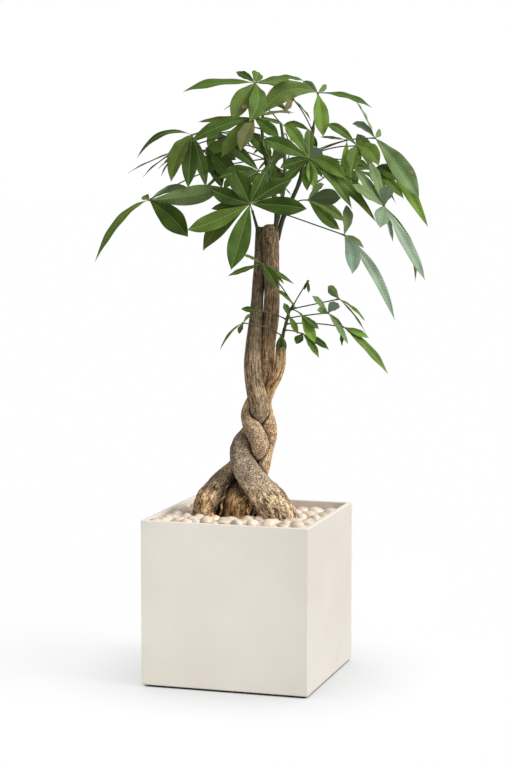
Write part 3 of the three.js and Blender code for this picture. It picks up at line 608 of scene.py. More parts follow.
def blade_grid(rows, columns):
    """A thin blade's upper and lower grid of points, which share their edges, its faces with the
    share of underside of each, and the edges at its two ends and down its sides."""
    upper = np.arange((rows + 1) * (columns + 1)).reshape(rows + 1, columns + 1)
    lower = upper.copy()
    lower[:, 1:columns] = upper.size + np.arange((rows + 1) * (columns - 1)).reshape(rows + 1, columns - 1)
    upper, lower = upper.tolist(), lower.tolist()
    faces, under = [], []
    for r in range(rows):
        for c in range(columns):
            faces.append([upper[r][c], upper[r][c + 1], upper[r + 1][c + 1], upper[r + 1][c]])
            faces.append([lower[r][c], lower[r + 1][c], lower[r + 1][c + 1], lower[r][c + 1]])
            under += [0.0, 1.0]
    for r, order in ((0, -1), (rows, 1)):
        for c in range(columns):
            ring = [upper[r][c], upper[r][c + 1], lower[r][c + 1], lower[r][c]]
            faces.append(list(dict.fromkeys(ring[::order])))
            under.append(0.0)
    edges = [(upper[r][c], upper[r + 1][c]) for r in range(rows) for c in (0, columns)]
    for grid in (upper, lower):
        edges += [(grid[r][c], grid[r][c + 1]) for r in (0, rows) for c in range(columns)]
    return np.array(upper), np.array(lower), faces, under, edges


GRIDS = {size: blade_grid(*size) for size in (LONG_GRID, SHORT_GRID)}


def add_blade(skin, root, tip, side, width, bow, tone, seed, spot=None):
    """One leaflet: a thin blade, folded at its midrib, with waved edges and a drooping tip."""
    length = np.linalg.norm(tip - root)
    rows, columns = SHORT_GRID if length < SHORT_BLADE else LONG_GRID
    upper, lower, faces, under, edges = GRIDS[(rows, columns)]
    crest = root + CREST_SHARE * (tip - root) + 2 * bow
    u = np.linspace(0, 1, rows + 1)
    u = 0.5 * u + 0.5 * (0.5 - 0.5 * np.cos(math.pi * u))
    v = np.linspace(-1, 1, columns + 1)
    t = u[:, None]
    spine = (1 - t) ** 2 * root + 2 * t * (1 - t) * crest + t**2 * tip
    slopes = units(2 * (1 - t) * (crest - root) + 2 * t * (tip - crest))
    across = units(side - slopes * (slopes @ side)[:, None])
    normal = np.cross(slopes, across)
    middle = np.sin(math.pi * u)[:, None]
    twist = BLADE_TWIST * (draw(seed + 0.15) - 0.5) * middle * 2
    turned = across * np.cos(twist) + normal * np.sin(twist)
    normal = normal * np.cos(twist) - across * np.sin(twist)
    reach = np.maximum(width / 2 * outline_at(u), BLADE_FOOT * (1 - u) + BLADE_TIP)
    waves = 2.2 + 1.6 * draw(seed + 0.25)
    phase = 2 * math.pi * (waves * t + draw(seed + 0.35) + 0.21 * np.sign(v)[None])
    wave = BLADE_WAVE * width * np.abs(v)[None] ** 2 * np.sin(phase) * middle ** 0.5
    lift = BLADE_FOLD * (1.5 * np.abs(v) - 0.5 * v**2)[None] * reach[:, None] + wave
    surface = spine[:, None] + turned[:, None] * (v[None, :, None] * reach[:, None, None])
    surface = surface + normal[:, None] * lift[:, :, None]
    grain = np.stack(np.broadcast_arrays(v[None] * reach[:, None], t * length, length), axis=2)
    points = np.zeros((lower.max() + 1, 3))
    grains = np.zeros_like(points)
    half = normal[:, None] * (BLADE_THICKNESS / 2)
    points[lower.ravel()] = (surface - half).reshape(-1, 3)
    points[upper.ravel()] = (surface + half).reshape(-1, 3)
    points[upper[:, (0, -1)]] = surface[:, (0, -1)]
    grains[lower.ravel()] = grains[upper.ravel()] = grain.reshape(-1, 3)
    shade = 0.88 + 0.24 * draw(seed + 0.45)
    tint = np.broadcast_to(linear(TONES[tone]) * shade, points.shape).copy()
    tint[:, 0] *= 0.94 + 0.12 * draw(seed + 0.55)
    if spot:
        mix = np.clip((1.15 - off_mark(points, *spot)) / 0.3, 0, 1)[:, None]
        tint = tint * (1 - mix) + linear(DEAD_TONE) * mix
    skin.add(points, faces, tint, grains, 0, under, edges)


def picture_blade(leaf_row, row):
    """A leaflet that the picture shows: tip, crosswise direction, bow, width, tone and dead spot."""
    hub, hub_depth = leaf_row["hub"], leaf_row["hub_depth"]
    drift = np.linalg.norm(place(*row["tip"], hub_depth) - hub) * math.tan(row["lean"]) / MM
    tip = place(*row["tip"], hub_depth + drift)
    chord = unit(tip - hub)
    flat = unit(np.cross(chord, unit(EYE - hub)))
    side = flat * math.cos(row["turn"]) + np.cross(chord, flat) * math.sin(row["turn"])
    if np.cross(chord, side)[2] < 0:
        side = -side
    return tip, side, SKYWARD * row["arch"] + flat * row["swing"], row["width"], row["tone"], row["spot"]


def fan_blades(row, seed):
    """A fan leaf's leaflets, the middle ones longest, all drooping outwards."""
    blades = []
    for i in range(row["count"]):
        share = i / (row["count"] - 1) - 0.5
        angle = row["turn"] + YAW + share * FAN_SPREAD + 0.25 * (draw(seed + i) - 0.5)
        droop = row["droop"] + FAN_STRAY * (draw(seed + i + 0.5) - 0.5)
        length = row["length"] * (1 - 0.9 * share * share) * (0.9 + 0.2 * draw(seed + i + 0.3))
        level = math.cos(droop)
        chord = np.array([math.cos(angle) * level, math.sin(angle) * level, -math.sin(droop)])
        side = unit(np.cross(SKYWARD, chord))
        tone = ("deep", "leaf", "olive")[int(3 * draw(seed + i + 0.7))]
        bow = SKYWARD * length * FAN_ARCH
        blades.append((row["hub"] + chord * length, side, bow, length * FAN_WIDTH, tone, None))
    return blades


def add_stalk(skin, foot, hub, arch, seed):
    """A leaf's stalk: slim, with a thicker cushion at its foot and at its hub."""
    rise = SKYWARD * arch
    marks = [foot, foot + (hub - foot) * 0.33 + rise, foot + (hub - foot) * 0.67 + rise, hub]
    shares = np.linspace(0, 1, STALK_STEPS)
    places, slopes = through(marks, shares)
    length = max(np.linalg.norm(hub - foot), 0.01)
    swell = np.exp(-((shares * length / FOOT_CUSHION) ** 2))
    swell = swell + 0.7 * np.exp(-(((1 - shares) * length / HUB_CUSHION) ** 2))
    points = tube_points(places, units(slopes), STALK_RADIUS * (1 + 0.9 * swell), STALK_SIDES)[0]
    tint = linear(STALK_TONE) * (0.8 + 0.4 * draw(seed + 0.6))
    skin.add(points, tube_faces(STALK_STEPS, STALK_SIDES), tint, slot=1)


def add_leaf(skin, row, shoot_places, seed):
    """One leaf: its stalk, the small pale cushion where its leaflets meet, and the leaflets."""
    hub = row["hub"]
    foot = shoot_places[int(math.floor(row["start"] * (len(shoot_places) - 1) + 0.5))]
    add_stalk(skin, foot, hub, row["arch"], seed)
    points, faces = ball_mesh(2)
    skin.add(points * KNOB_SIZE + hub, faces, linear(KNOB_TONE), slot=1)
    blades = fan_blades(row, seed) if "count" in row else [picture_blade(row, b) for b in row["blades"]]
    for index, (tip, side, bow, width, tone, spot) in enumerate(blades):
        add_blade(skin, hub, tip, side, width, bow, tone, seed + index, spot)


def make_shoot(name, stations, leaves, seed, materials):
    """One leafy shoot: its green stem, swollen where leaves start, its leaf stalks and its leaflets."""
    skin = Skin()
    count = SHOOT_STEPS * (len(stations) - 1) + 1
    places, slopes, radii = run(stations, count)
    shares = np.linspace(0, 1, count)
    for row in leaves:
        radii = radii * (1 + 0.16 * np.exp(-(((shares - row["start"]) / 0.03) ** 2)))
    points = tube_points(places, slopes, radii, SHOOT_SIDES)[0]
    tint = linear(SHOOT_TONE) * (1 - 0.35 * (1 - shares))[:, None]
    skin.add(points, tube_faces(count, SHOOT_SIDES), np.repeat(tint, SHOOT_SIDES, axis=0), slot=1)
    marks = run(stations, SHOOT_MARKS)[0]
    for index, row in enumerate(leaves):
        add_leaf(skin, row, marks, seed + 10 * index)
    piece = skin.piece(name.replace("shoot", "foliage"), materials)
    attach(piece, "root")
    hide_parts(name)


# ---------------------------------------------------------------- woody stems
def gap_to(points, stations):
    """How far points stand off another stem's surface."""
    places, _, radii = run(stations, GAP_STEPS)
    tree = KDTree(len(places))
    for index, spot in enumerate(places):
        tree.insert(spot, index)
    tree.balance()
    gaps = np.empty(len(points))
    for index, point in enumerate(points):
        _, nearest, distance = tree.find(point)
        gaps[index] = distance - radii[nearest]
    return gaps


def rootlet(skin, places, slopes, radii, seed, tint):
    """A thin root that clings to a thick one and runs down it into the pebbles."""
    top = ROOTLET_TOP - 0.050 * draw(seed)
    bottom = max(top - 0.030 - 0.045 * draw(seed + 0.1), ROOTLET_END)
    first, last = (int(np.argmin(np.abs(places[:, 2] - level))) for level in (top, bottom))
    rows = max((last - first) // 3, 6)
    picks = np.linspace(first, last, rows).astype(int)
    across, front = frames(slopes)
    shares = np.linspace(0, 1, rows)
    turn = 2 * math.pi * draw(seed + 0.2) + 0.5 * (draw(seed + 0.3) - 0.5) * shares
    turn = (turn + 0.10 * np.sin(9 * shares + 6 * draw(seed + 0.4)))[:, None]
    outward = across[picks] * np.cos(turn) + front[picks] * np.sin(turn)
    taper = np.sqrt(np.sin(math.pi * (0.08 + 0.86 * shares)))
    thick = (ROOTLET_RADIUS + ROOTLET_GROWTH * draw(seed + 0.5)) * taper
    spine = places[picks] + outward * (radii[picks] + 0.4 * thick + ROOTLET_CLEAR)[:, None]
    points, around = tube_points(spine, units(np.gradient(spine, axis=0)), thick, ROOTLET_SIDES)
    down = np.repeat(shares[:, None] * 0.06, ROOTLET_SIDES, axis=1)
    grain = np.stack([around[..., 0] * 0.002, around[..., 1] * 0.002, down], axis=2).reshape(-1, 3)
    tint = np.array(tint) * (0.6 + 0.7 * draw(seed + 0.7))
    skin.add(points, tube_faces(rows, ROOTLET_SIDES), tint, grain)


def make_stem(name, material):
    """One woody stem: fine ridges above, and lobed, fibrous bark with rootlets at its root. Its tint holds
    painted shade: darker in the cracks, in the grooves beside the other stems, in patches at the pebble line
    and in its bands."""
    stations, seed, body_tint, root_tint, painted_shade_bands, scars = STEMS[name]
    length = sum(np.linalg.norm(b["place"] - a["place"]) for a, b in zip(stations, stations[1:]))
    count = int(length / STEM_PITCH)
    places, slopes, radii = run(stations, count)
    base, around = tube_points(places, slopes, radii, STEM_SIDES)
    steps = np.linalg.norm(np.diff(places, axis=0), axis=1)
    down = np.concatenate([[0], np.cumsum(steps)])
    down = np.broadcast_to(down[:, None, None], (count, STEM_SIDES, 1))
    angles = np.arange(STEM_SIDES) * 2 * math.pi / STEM_SIDES
    turned = np.stack([np.cos(angles), np.sin(angles)], axis=1)[None]
    flat = turned * radii[:, None, None]
    grain = np.concatenate([flat, down], axis=2)
    coarse = np.concatenate([np.broadcast_to(turned, flat.shape), down], axis=2)

    height = base[..., 2]
    low, deep, root, foot = (ramp(height, *zone) for zone in (LOW_BARK, DEEP_GROOVES, ROOT, ROOT_FOOT))
    bulge = layered(coarse * RIDGE_GRAIN, seed)
    streak = layered(grain * STREAK_GRAIN, seed + 20)
    grit = layered(base * GRIT_GRAIN, seed + 40)
    fibre = 1 - 2 * np.abs(layered(grain * FIBRE_GRAIN, seed + 60, 2))
    lobe = 1 - 2.4 * np.abs(field(coarse * LOBE_GRAIN, seed + 80))
    lift = RIDGE * bulge * (1 + low) + STREAK * streak * (1 - low) + GRIT * grit * low
    lift = lift + root * (FIBRE * fibre + ROOT_GRIT * grit) + foot * (LOBE * lobe - LOBE_SINK)
    # Painted shade: darker in the cracks, where the root's fibres, grit and lobes sink.
    painted_crack_shade = ramp(root * (0.45 * fibre + 0.30 * grit) + foot * 0.95 * lobe, 0.02, -0.75)
    # Painted shade in dark patches at the foot, near the pebble line.
    painted_pebble_line_shade = ramp(height, *PEBBLE_LINE_SHADE_ZONE) * ramp(field(base * PEBBLE_LINE_SHADE_GRAIN, seed + 90), -0.25, 0.20)
    shade = (1 - 0.80 * painted_crack_shade) * (1 + 0.10 * bulge) * (1 - 0.72 * painted_pebble_line_shade)
    # Soft bands of painted shade, by height.
    for strength, middle, spread in painted_shade_bands:
        shade = shade * (1 - strength * np.exp(-(((height - middle) / spread) ** 2)))
    for scar in scars:
        sunk = ramp(off_mark(base, *scar, *SCAR_RADII), 1.3, 0.5) * ((around @ AHEAD) < 0)
        lift = lift - SCAR_DEPTH * sunk
        shade = shade * (1 - 0.75 * sunk)
    lift = lift * np.minimum(1, radii / 0.012)[:, None]
    points = base + around * lift[..., None]
    # Painted shade in the grooves beside the other stems.
    reach = radii[:, None] * (0.26 + 0.14 * low + 0.55 * deep)
    for other in STEMS:
        if other != name:
            gap = gap_to(points.reshape(-1, 3), STEMS[other][0]).reshape(count, STEM_SIDES)
            clear = ramp(gap, GROOVE_START, reach) ** (0.8 + 0.6 * deep)
            shade = shade * (PAINTED_GROOVE_SHADE + (1 - PAINTED_GROOVE_SHADE) * clear)
    share = root[..., None]
    tint = (np.array(body_tint) * (1 - share) + np.array(root_tint) * share) * shade[..., None]
    skin = Skin()
    skin.add(points, tube_faces(count, STEM_SIDES), tint.reshape(-1, 3), grain.reshape(-1, 3))
    for index in range(ROOTLETS):
        rootlet(skin, places, slopes, radii, 1000 + seed * 10 + index, root_tint)
    piece = skin.piece(name.replace("stem", "bark"), [material])
    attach(piece, "root")
    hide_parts(name)


# ---------------------------------------------------------------- planter
def square_ring(half, z):
    """One ring of a square block with rounded corners, anticlockwise from above."""
    ring = []
    centre = half - CORNER_RADIUS
    for corner, (sx, sy) in enumerate(((1, -1), (1, 1), (-1, 1), (-1, -1))):
        for k in range(CORNER_STEPS + 1):
            angle = math.radians(-90 + 90 * corner + 90 * k / CORNER_STEPS)
            x, y = CORNER_RADIUS * math.cos(angle), CORNER_RADIUS * math.sin(angle)
            ring.append((sx * centre + x, sy * centre + y, z))
    return ring


def make_planter(material):
    """The planter: square, thin-walled, with softly rounded rim edges and a recessed foot."""
    outer, inner = PLANTER_HALF, PLANTER_HALF - WALL
    rounding = []
    for k in range(RIM_STEPS + 1):
        turn = math.radians(90 * k / RIM_STEPS)
        rounding.append((RIM_RADIUS * (1 - math.cos(turn)), RIM_RADIUS * (1 - math.sin(turn))))
    profile = [
        (outer - FOOT_INSET, 0), (outer - FOOT_INSET, FOOT_HEIGHT), (outer - FOOT_BEVEL, FOOT_HEIGHT),
        (outer, FOOT_HEIGHT + FOOT_BEVEL), (outer, FOOT_HEIGHT + 4 * FOOT_BEVEL),
        (outer, PLANTER_HEIGHT - 3 * RIM_RADIUS),
        *((outer - inset, PLANTER_HEIGHT - drop) for inset, drop in rounding),
        *((inner + inset, PLANTER_HEIGHT - drop) for drop, inset in rounding),
        (inner, PLANTER_HEIGHT - 3 * RIM_RADIUS), (inner, FLOOR),
    ]
    rings = [square_ring(half, z) for half, z in profile]
    skin = Skin()
    skin.add(rings, tube_faces(len(rings), len(rings[0])), (1, 1, 1))
    piece = skin.piece("planter_body", [material])
    even = piece.modifiers.new("even_shading", "WEIGHTED_NORMAL")
    even.keep_sharp = True
    even.weight = 100
    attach(piece, "root")
    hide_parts("planter")


# ---------------------------------------------------------------- pebbles
def stem_slices(level):
    """Centre and radius of each stem where it passes a height."""
    slices = []
    for stations, *_ in STEMS.values():
        places, _, radii = run(stations, SLICE_STEPS)
        near = int(np.argmin(np.abs(places[:, 2] - level)))
        slices.append((places[near, :2], radii[near] * 1.04))
    return slices


def pebble_places():
    """Where the pebbles lie: rows of large ones, and a lower layer that fills between them."""
    reach = PLANTER_HALF - WALL
    rows = int((2 * reach - 0.7 * PEBBLE_LENGTH) / PEBBLE_PITCH)
    start = -rows * PEBBLE_PITCH / 2
    stones = []
    for layer in (0, 1):
        for row in range(rows + 1 + layer):
            for column in range(rows + 1 + layer):
                seed = 1 + row * 17.3 + column * 3.7 + layer * 501.1
                shift = (ROW_SHIFT if row % 2 == 0 else -ROW_SHIFT) - 0.5 * layer
                x = start + (column + shift + PEBBLE_STRAY * (draw(seed + 0.5) - 0.5)) * PEBBLE_PITCH
                y = start + (row - 0.5 * layer + PEBBLE_STRAY * (draw(seed + 0.6) - 0.5)) * PEBBLE_PITCH
                rise = PEBBLE_RISE * (0.5 - y / (2 * reach)) + PEBBLE_LIFT * draw(seed + 0.7)
                length = PEBBLE_LENGTH * (0.80 + 0.24 * draw(seed + 0.1)) * (1 - 0.12 * layer)
                stones.append([x, y, PEBBLE_BASE + rise - LAYER_DROP * layer, length, seed])
    return stones


def settle(stones):
    """Pushes pebbles out of the stems and walls, and apart where they sit too deep in each other."""
    spots = np.array([s[:2] for s in stones])
    sizes = np.array([s[3] for s in stones]) / 2
    slices = stem_slices(SETTLE_LEVEL)
    inside = (PLANTER_HALF - WALL - WALL_GAP - 0.9 * sizes)[:, None]
    for _ in range(SETTLE_ROUNDS):
        for i in range(len(spots)):
            gaps = spots - spots[i]
            far = np.hypot(gaps[:, 0], gaps[:, 1])
            far[i] = 1
            wanted = PEBBLES_APART * (sizes + sizes[i])
            for j in np.where(far < wanted)[0]:
                push = 0.25 * (wanted[j] - far[j]) * gaps[j] / max(far[j], 1e-6)
                spots[i] -= push
                spots[j] += push
        for centre, radius in slices:
            gaps = spots - centre
            far = np.hypot(gaps[:, 0], gaps[:, 1])[:, None]
            wanted = (radius + STEM_APART * sizes)[:, None]
            spots = np.where(far < wanted, centre + gaps / np.maximum(far, 1e-6) * wanted, spots)
        spots = np.clip(spots, -inside, inside)
    return [[x, y, *stone[2:]] for (x, y), stone in zip(spots, stones)]


def make_pebbles(material):
    """Smooth ivory stones, each a different oval, turned and tilted at random, with painted shade darker and
    browner underneath.
    """
    ball, faces = ball_mesh(4)
    skin = Skin()
    for x, y, z, length, seed in settle(pebble_places()):
        breadth = length * (0.74 + 0.2 * draw(seed + 0.2))
        height = PEBBLE_HEIGHT * (0.85 + 0.3 * draw(seed + 0.3)) * min(1, length / PEBBLE_LENGTH + 0.08)
        swell = np.array([1 + 0.10 * noise.noise(Vector(p) * 1.1 + Vector((seed, 0, 0))) for p in ball])
        points = ball * swell[:, None] * (length / 2, breadth / 2, height / 2)
        tilt = Matrix.Rotation(math.pi * draw(seed + 0.4), 3, "Z")
        for axis, step in (("X", 0.8), ("Y", 0.9)):
            tilt = tilt @ Matrix.Rotation(PEBBLE_TILT * (draw(seed + step) - 0.5), 3, axis)
        points = points @ np.array(tilt).T + (x, y, z)
        warm, level = draw(seed + 0.95), 0.86 + 0.16 * draw(seed + 0.65)
        tint = linear(PEBBLE_TONE) * level * (1, 1 - 0.05 * warm, 1 - 0.14 * warm)
        # Painted shade: each stone darker and browner below its middle.
        out_of_painted_shade = ramp((points[:, 2] - z) / height, -0.42, 0.10)[:, None]
        tint = tint * (0.22 + 0.78 * out_of_painted_shade) * (1 - (1 - out_of_painted_shade) * (0, 0.16, 0.34))
        skin.add(points, faces, tint)
    piece = skin.piece("pebbles", [material])
    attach(piece, "root")
    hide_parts("pebble_bed")


# ---------------------------------------------------------------- materials
class Look:
    """The node tree of a material or world, built with short calls."""

    def __init__(self, owner):
        owner.use_nodes = True
        self.owner = owner
        self.nodes = owner.node_tree.nodes
        self.shader = self.nodes.get("Principled BSDF")

    def node(self, kind, **settings):
        made = self.nodes.new("ShaderNode" + kind)
        for key, value in settings.items():
            setattr(made, key, value)
        return made

    def feed(self, socket, value):
        if isinstance(value, bpy.types.NodeSocket):
            self.owner.node_tree.links.new(value, socket)
        else:
            socket.default_value = value

    def set(self, node, **values):
        """Sets a node's sockets by name, with _ for a space."""
        for key, value in values.items():
            self.feed(node.inputs[key.replace("_", " ")], value)
        return node

    def math(self, operation, a, b=0.0, c=0.0):
        made = self.node("Math", operation=operation)
        for socket, value in zip(made.inputs, (a, b, c)):
            self.feed(socket, value)
        return made.outputs[0]

    def times(self, a, b):
        return self.math("MULTIPLY", a, b)

    def add_times(self, total, a, b):
        """The total plus a times b."""
        return self.math("MULTIPLY_ADD", a, b, total)

    def split(self, vector):
        return self.set(self.node("SeparateXYZ"), Vector=vector).outputs

    def ramp(self, value, low, high, to_low=0.0, to_high=1.0, kind="SMOOTHSTEP"):
        made = self.node("MapRange", interpolation_type=kind)
        self.set(made, Value=value, From_Min=low, From_Max=high, To_Min=to_low, To_Max=to_high)
        return made.outputs["Result"]

    def slope(self, value, low, high, to_low, to_high):
        """As ramp, but straight."""
        return self.ramp(value, low, high, to_low, to_high, "LINEAR")

    def noise(self, vector, scale, detail=3.0, rough=0.55, stretch=None):
        if stretch:
            vector = self.set(self.node("Mapping"), Vector=vector, Scale=(1, 1, stretch)).outputs[0]
        made = self.node("TexNoise")
        return self.set(made, Vector=vector, Scale=scale, Detail=detail, Roughness=rough).outputs["Fac"]

    def mix(self, share, a, b, blend="MIX"):
        """A mix of two colours, each a socket or a display colour."""
        made = self.node("Mix", data_type="RGBA", blend_type=blend)
        self.feed(made.inputs[0], share)
        for socket, value in zip(made.inputs[6:8], (a, b)):
            self.feed(socket, (*linear(value), 1) if isinstance(value, tuple) else value)
        return made.outputs[2]

    def shaded(self, colour, level):
        """A colour times a level or a tint."""
        return self.mix(1.0, colour, level, "MULTIPLY")

    def attribute(self, name, output):
        return self.node("Attribute", attribute_name=name).outputs[output]

    def place(self):
        return self.node("TexCoord").outputs["Object"]

    def surface(self, **values):
        self.set(self.shader, **values)

    def bump(self, height, strength, distance):
        made = self.set(self.node("Bump"), Strength=strength, Distance=distance, Height=height)
        self.surface(Normal=made.outputs["Normal"])


def new_look(name):
    return Look(bpy.data.materials.new(name))


def leaf_look():
    """Leaf surface: its own tint, pale ribs, fine mottling, a paler underside and a waxy sheen."""
    look = new_look("leaf_surface")
    across, along, _ = look.split(look.attribute("grain", "Vector"))
    off_rib = look.math("ABSOLUTE", across)
    midrib = look.ramp(off_rib, 0.0004, 0.0013, 1, 0)
    bent = look.add_times(look.add_times(along, off_rib, -0.62), look.times(off_rib, off_rib), -9.0)
    turns = look.math("FRACT", look.times(bent, 1 / VEIN_PITCH))
    off_vein = look.math("ABSOLUTE", look.math("SUBTRACT", turns, 0.5))
    vein = look.ramp(off_vein, 0.02, 0.11, 1, 0)
    quilt = look.ramp(off_vein, 0.0, 0.5)
    broad = look.noise(look.place(), 22)
    fine = look.noise(look.place(), 240, 4)
    shade = look.times(look.slope(broad, 0.3, 0.7, 0.84, 1.16), look.slope(fine, 0.3, 0.7, 0.92, 1.08))
    colour = look.shaded(look.attribute("tint", "Color"), shade)
    paler = look.mix(0.36, colour, UNDERSIDE_TONE)
    colour = look.mix(look.times(look.attribute("under", "Fac"), 0.7), colour, paler)
    colour = look.mix(look.times(midrib, 0.42), colour, RIB_TONE)
    colour = look.mix(look.times(vein, 0.07), colour, RIB_TONE)
    look.surface(Base_Color=colour, Specular_IOR_Level=0.12)
    look.surface(Roughness=look.slope(fine, 0.2, 0.8, 0.42, 0.60))
    raised = look.add_times(look.times(quilt, 0.6), midrib, -0.6)
    look.bump(look.add_times(raised, fine, 0.15), 0.45, 0.0012)
    return look.owner


def stalk_look():
    """Green shoots and leaf stalks: their own tint, with fine lengthwise mottling."""
    look = new_look("stalk_surface")
    fine = look.noise(look.place(), 300, stretch=0.3)
    colour = look.shaded(look.attribute("tint", "Color"), look.slope(fine, 0.3, 0.7, 0.75, 1.25))
    look.surface(Base_Color=colour, Roughness=0.5)
    look.bump(fine, 0.3, 0.0004)
    return look.owner


def bark_look():
    """Bark: grey-brown above, tan and finely fissured below, speckled, fibrous and gashed at the roots, with
    painted shade in the gashes.
    """
    look = new_look("bark_surface")
    grain = look.attribute("grain", "Vector")
    where = look.place()
    height = look.add_times(look.split(where)[2], look.noise(where, 16, 2), 0.10)
    tan, low, root = (look.ramp(height, *zone) for zone in (TAN_BARK, GREY_BARK, ROOT_BARK))
    streak = look.noise(grain, 340, 4, 0.6, stretch=0.13)
    speck = look.noise(where, 350, 4, 0.68)
    fissure = look.add_times(look.times(speck, 0.38), look.noise(grain, 300, 4, 0.6, stretch=0.12), 0.62)
    fibre = look.add_times(look.times(speck, 0.5), look.noise(grain, 230, 4, 0.66, stretch=0.34), 0.5)
    gash = look.noise(grain, 90, 4, 0.62, stretch=0.42)
    broad = look.noise(where, 34)
    patch = look.noise(where, 95, 3, 0.6)
    upper = look.mix(look.ramp(streak, 0.33, 0.66), *UPPER_TONES)
    middle = look.mix(look.ramp(fissure, 0.40, 0.58), *MIDDLE_TONES)
    grey = look.mix(look.ramp(speck, 0.38, 0.60), *GREY_TONES)
    rooty = look.mix(look.ramp(fibre, 0.41, 0.56), *ROOT_TONES)
    colour = look.mix(low, look.mix(tan, upper, middle), grey)
    colour = look.mix(look.times(root, 0.85), colour, rooty)
    colour = look.shaded(colour, look.slope(broad, 0.3, 0.7, 0.80, 1.18))
    colour = look.shaded(colour, look.ramp(patch, 0.36, 0.64, 0.72, 1.14))
    # Painted shade: the roots darker in their gashes, where the bump sinks.
    colour = look.mix(root, colour, look.shaded(colour, look.ramp(gash, 0.36, 0.48, 0.40, 1.10)))
    # The tint carries each stem's own colour and its painted shade.
    colour = look.shaded(colour, look.attribute("tint", "Color"))
    look.surface(Base_Color=colour, Roughness=0.9, Specular_IOR_Level=0.25)
    raised = look.add_times(look.times(speck, 0.8), fissure, 0.5)
    raised = look.add_times(raised, look.times(root, gash), 1.4)
    look.bump(look.add_times(raised, fibre, 0.4), 1.0, 0.0034)
    return look.owner


def pebble_look():
    """Tumbled ivory stone: each with its own tint, which holds painted shade underneath, faint clouding and a
    soft polish.
    """
    look = new_look("pebble_surface")
    cloud = look.noise(look.place(), 90, 4)
    fleck = look.noise(look.place(), 700)
    clouded = look.mix(look.ramp(cloud, 0.45, 0.75, 0, 0.35), look.attribute("tint", "Color"), CLOUD_TONE)
    look.surface(Base_Color=look.shaded(clouded, look.ramp(fleck, 0.2, 0.6, 0.93, 1.0)))
    look.surface(Roughness=look.slope(cloud, 0.3, 0.7, 0.28, 0.42))
    look.surface(Subsurface_Weight=0.12, Subsurface_Scale=0.004)
    look.bump(fleck, 0.08, 0.0004)
    return look.owner


def planter_look():
    """Satin cream fibre-clay: almost even, with faint clouding, a very fine tooth, a painted highlight on the
    rim's top and painted shadow on the recessed foot."""
    look = new_look("planter_surface")
    cloud = look.noise(look.place(), 5)
    tooth = look.noise(look.place(), 900)
    height = look.split(look.place())[2]
    colour = look.mix(look.ramp(cloud, 0.35, 0.65), *PLANTER_TONES)
    # A painted highlight along the rim's top.
    colour = look.mix(look.ramp(height, *RIM_HIGHLIGHT_EDGE), colour, RIM_HIGHLIGHT_TONE)
    # Painted shadow on the recessed foot.
    colour = look.mix(look.ramp(height, *FOOT_SHADOW_EDGE), colour, FOOT_SHADOW_TONE)
    look.surface(Base_Color=colour, Roughness=look.slope(tooth, 0.2, 0.8, 0.40, 0.50))
    look.bump(tooth, 0.05, 0.0003)
    return look.owner


def compost_look():
    """Dark, crumbly potting compost."""
    look = new_look("compost_surface")
    crumb = look.noise(look.place(), 160, 6, 0.7)
    look.surface(Base_Color=look.mix(look.ramp(crumb, 0.35, 0.65), *COMPOST_TONES), Roughness=0.95)
    look.bump(crumb, 0.9, 0.003)
    return look.owner


def floor_look():
    """Plain pale studio floor. It glows, nearly white for the camera and more softly for the object,
    and the glow fades close to the planter and under its edge."""
    look = new_look("studio_floor")
    look.surface(Base_Color=(FLOOR_GREY, FLOOR_GREY, FLOOR_GREY, 1), Roughness=0.9, Specular_IOR_Level=0.0)
    openness = look.node("AmbientOcclusion", samples=8)
    openness = look.set(openness, Distance=CONTACT_REACH).outputs["AO"]
    # The glow's fade close to the planter and under its edge is a painted contact shadow.
    glow = look.slope(openness, 0.5, 1, FLOOR_GLOW - FLOOR_CONTACT / 2, FLOOR_GLOW)
    glow = look.times(glow, look.ramp(openness, 0.12, 0.40))
    seen = look.node("LightPath").outputs["Is Camera Ray"]
    glow = look.math("MULTIPLY_ADD", look.math("SUBTRACT", glow, FLOOR_BOUNCE), seen, FLOOR_BOUNCE)
    look.surface(Emission_Color=(1, 1, 1, 1), Emission_Strength=glow)
    return look.owner


# ---------------------------------------------------------------- studio
def make_camera():
    """The camera that took the picture, as fitted above."""
    data = bpy.data.cameras.new("camera")
    data.sensor_width = SENSOR
    data.lens = FOCAL / PICTURE_HEIGHT * SENSOR
    camera = add_object("camera", data)
    turn = Matrix((RIGHTWARD, UPWARD, -AHEAD)).transposed()
    camera.matrix_world = Matrix.Translation(Vector(EYE)) @ turn.to_4x4()
    bpy.context.scene.camera = camera


def make_light(name, kind, spot, target, power, **settings):
    """A light at a spot, turned to its target."""
    data = bpy.data.lights.new(name, kind)
    data.energy = power
    for key, value in settings.items():
        setattr(data, key, value)
    light = add_object(name, data)
    light.location = spot
    light.rotation_mode = "QUATERNION"
    light.rotation_quaternion = (Vector(target) - Vector(spot)).to_track_quat("-Z", "Y")


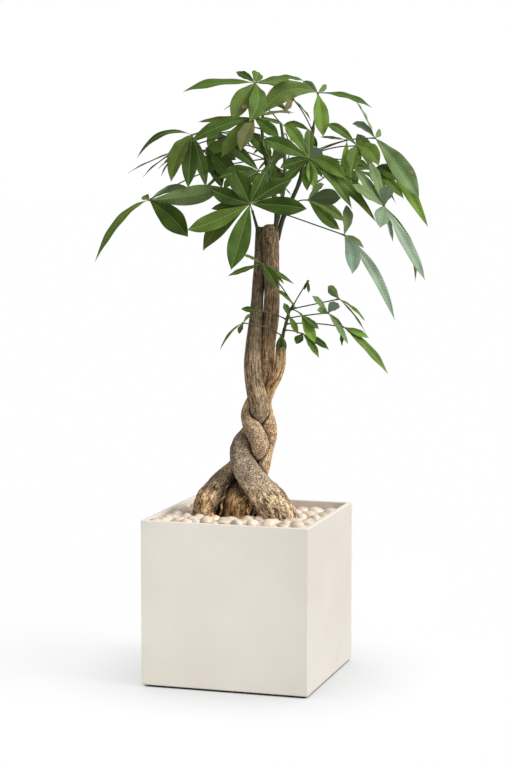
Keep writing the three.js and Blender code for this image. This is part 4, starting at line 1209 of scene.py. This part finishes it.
def make_world():
    """A soft surround, brighter on the key light's side, in front of a plain white backdrop."""
    look = Look(bpy.data.worlds.new("studio"))
    toward = look.node("VectorMath", operation="DOT_PRODUCT")
    look.feed(toward.inputs[0], look.node("TexCoord").outputs["Generated"])
    look.feed(toward.inputs[1], unit(np.array(SURROUND_SIDE)).tolist())
    level = look.slope(toward.outputs["Value"], -1, 1, *SURROUND_LEVELS)
    surround = look.set(look.nodes["Background"], Color=(1, 1, 1, 1), Strength=level)
    backdrop = look.set(look.node("Background"), Color=(1, 1, 1, 1))
    choose = look.node("MixShader")
    seen = look.node("LightPath").outputs["Is Camera Ray"]
    for socket, value in zip(choose.inputs, (seen, surround.outputs[0], backdrop.outputs[0])):
        look.feed(socket, value)
    look.set(look.nodes["World Output"], Surface=choose.outputs[0])
    bpy.context.scene.world = look.owner


def make_studio():
    """The surround, the key light, the low lights round the planter and the floor."""
    bpy.context.scene.view_settings.view_transform = "Standard"
    make_world()
    make_light("key", "SUN", KEY_SIDE, (0, 0, 0), KEY_POWER, angle=math.radians(KEY_SPREAD))
    for turn, sideways, power in LOW_LIGHTS:
        facing = Matrix.Rotation(math.radians(turn), 3, "Z")
        spot = facing @ Vector((sideways, -LOW_AWAY, LOW_HEIGHT))
        aim = facing @ Vector((0, -PLANTER_HALF, 0))
        make_light(f"low_{turn}", "SPOT", spot, aim, power,
                   spot_size=math.radians(LOW_SPREAD), spot_blend=LOW_BLEND, shadow_soft_size=LOW_SIZE)
    mesh = bpy.data.meshes.new("studio_floor")
    corners = [(x * FLOOR_REACH, y * FLOOR_REACH, 0) for x, y in ((-1, -1), (1, -1), (1, 1), (-1, 1))]
    mesh.from_pydata(corners, [], [[0, 1, 2, 3]])
    mesh.materials.append(floor_look())
    floor = add_object("studio_floor", mesh)


# ---------------------------------------------------------------- the whole scene
make_camera()
make_studio()
make_planter(planter_look())
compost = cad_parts["compost"]
compost.data.materials.clear()
compost.data.materials.append(compost_look())
make_pebbles(pebble_look())
bark = bark_look()
for stem in STEMS:
    make_stem(stem, bark)
leaf_surfaces = [leaf_look(), stalk_look()]
for number, (shoot, stations, leaves) in enumerate(SHOOTS, 1):
    make_shoot(shoot, stations, leaves, 100 * number, leaf_surfaces)
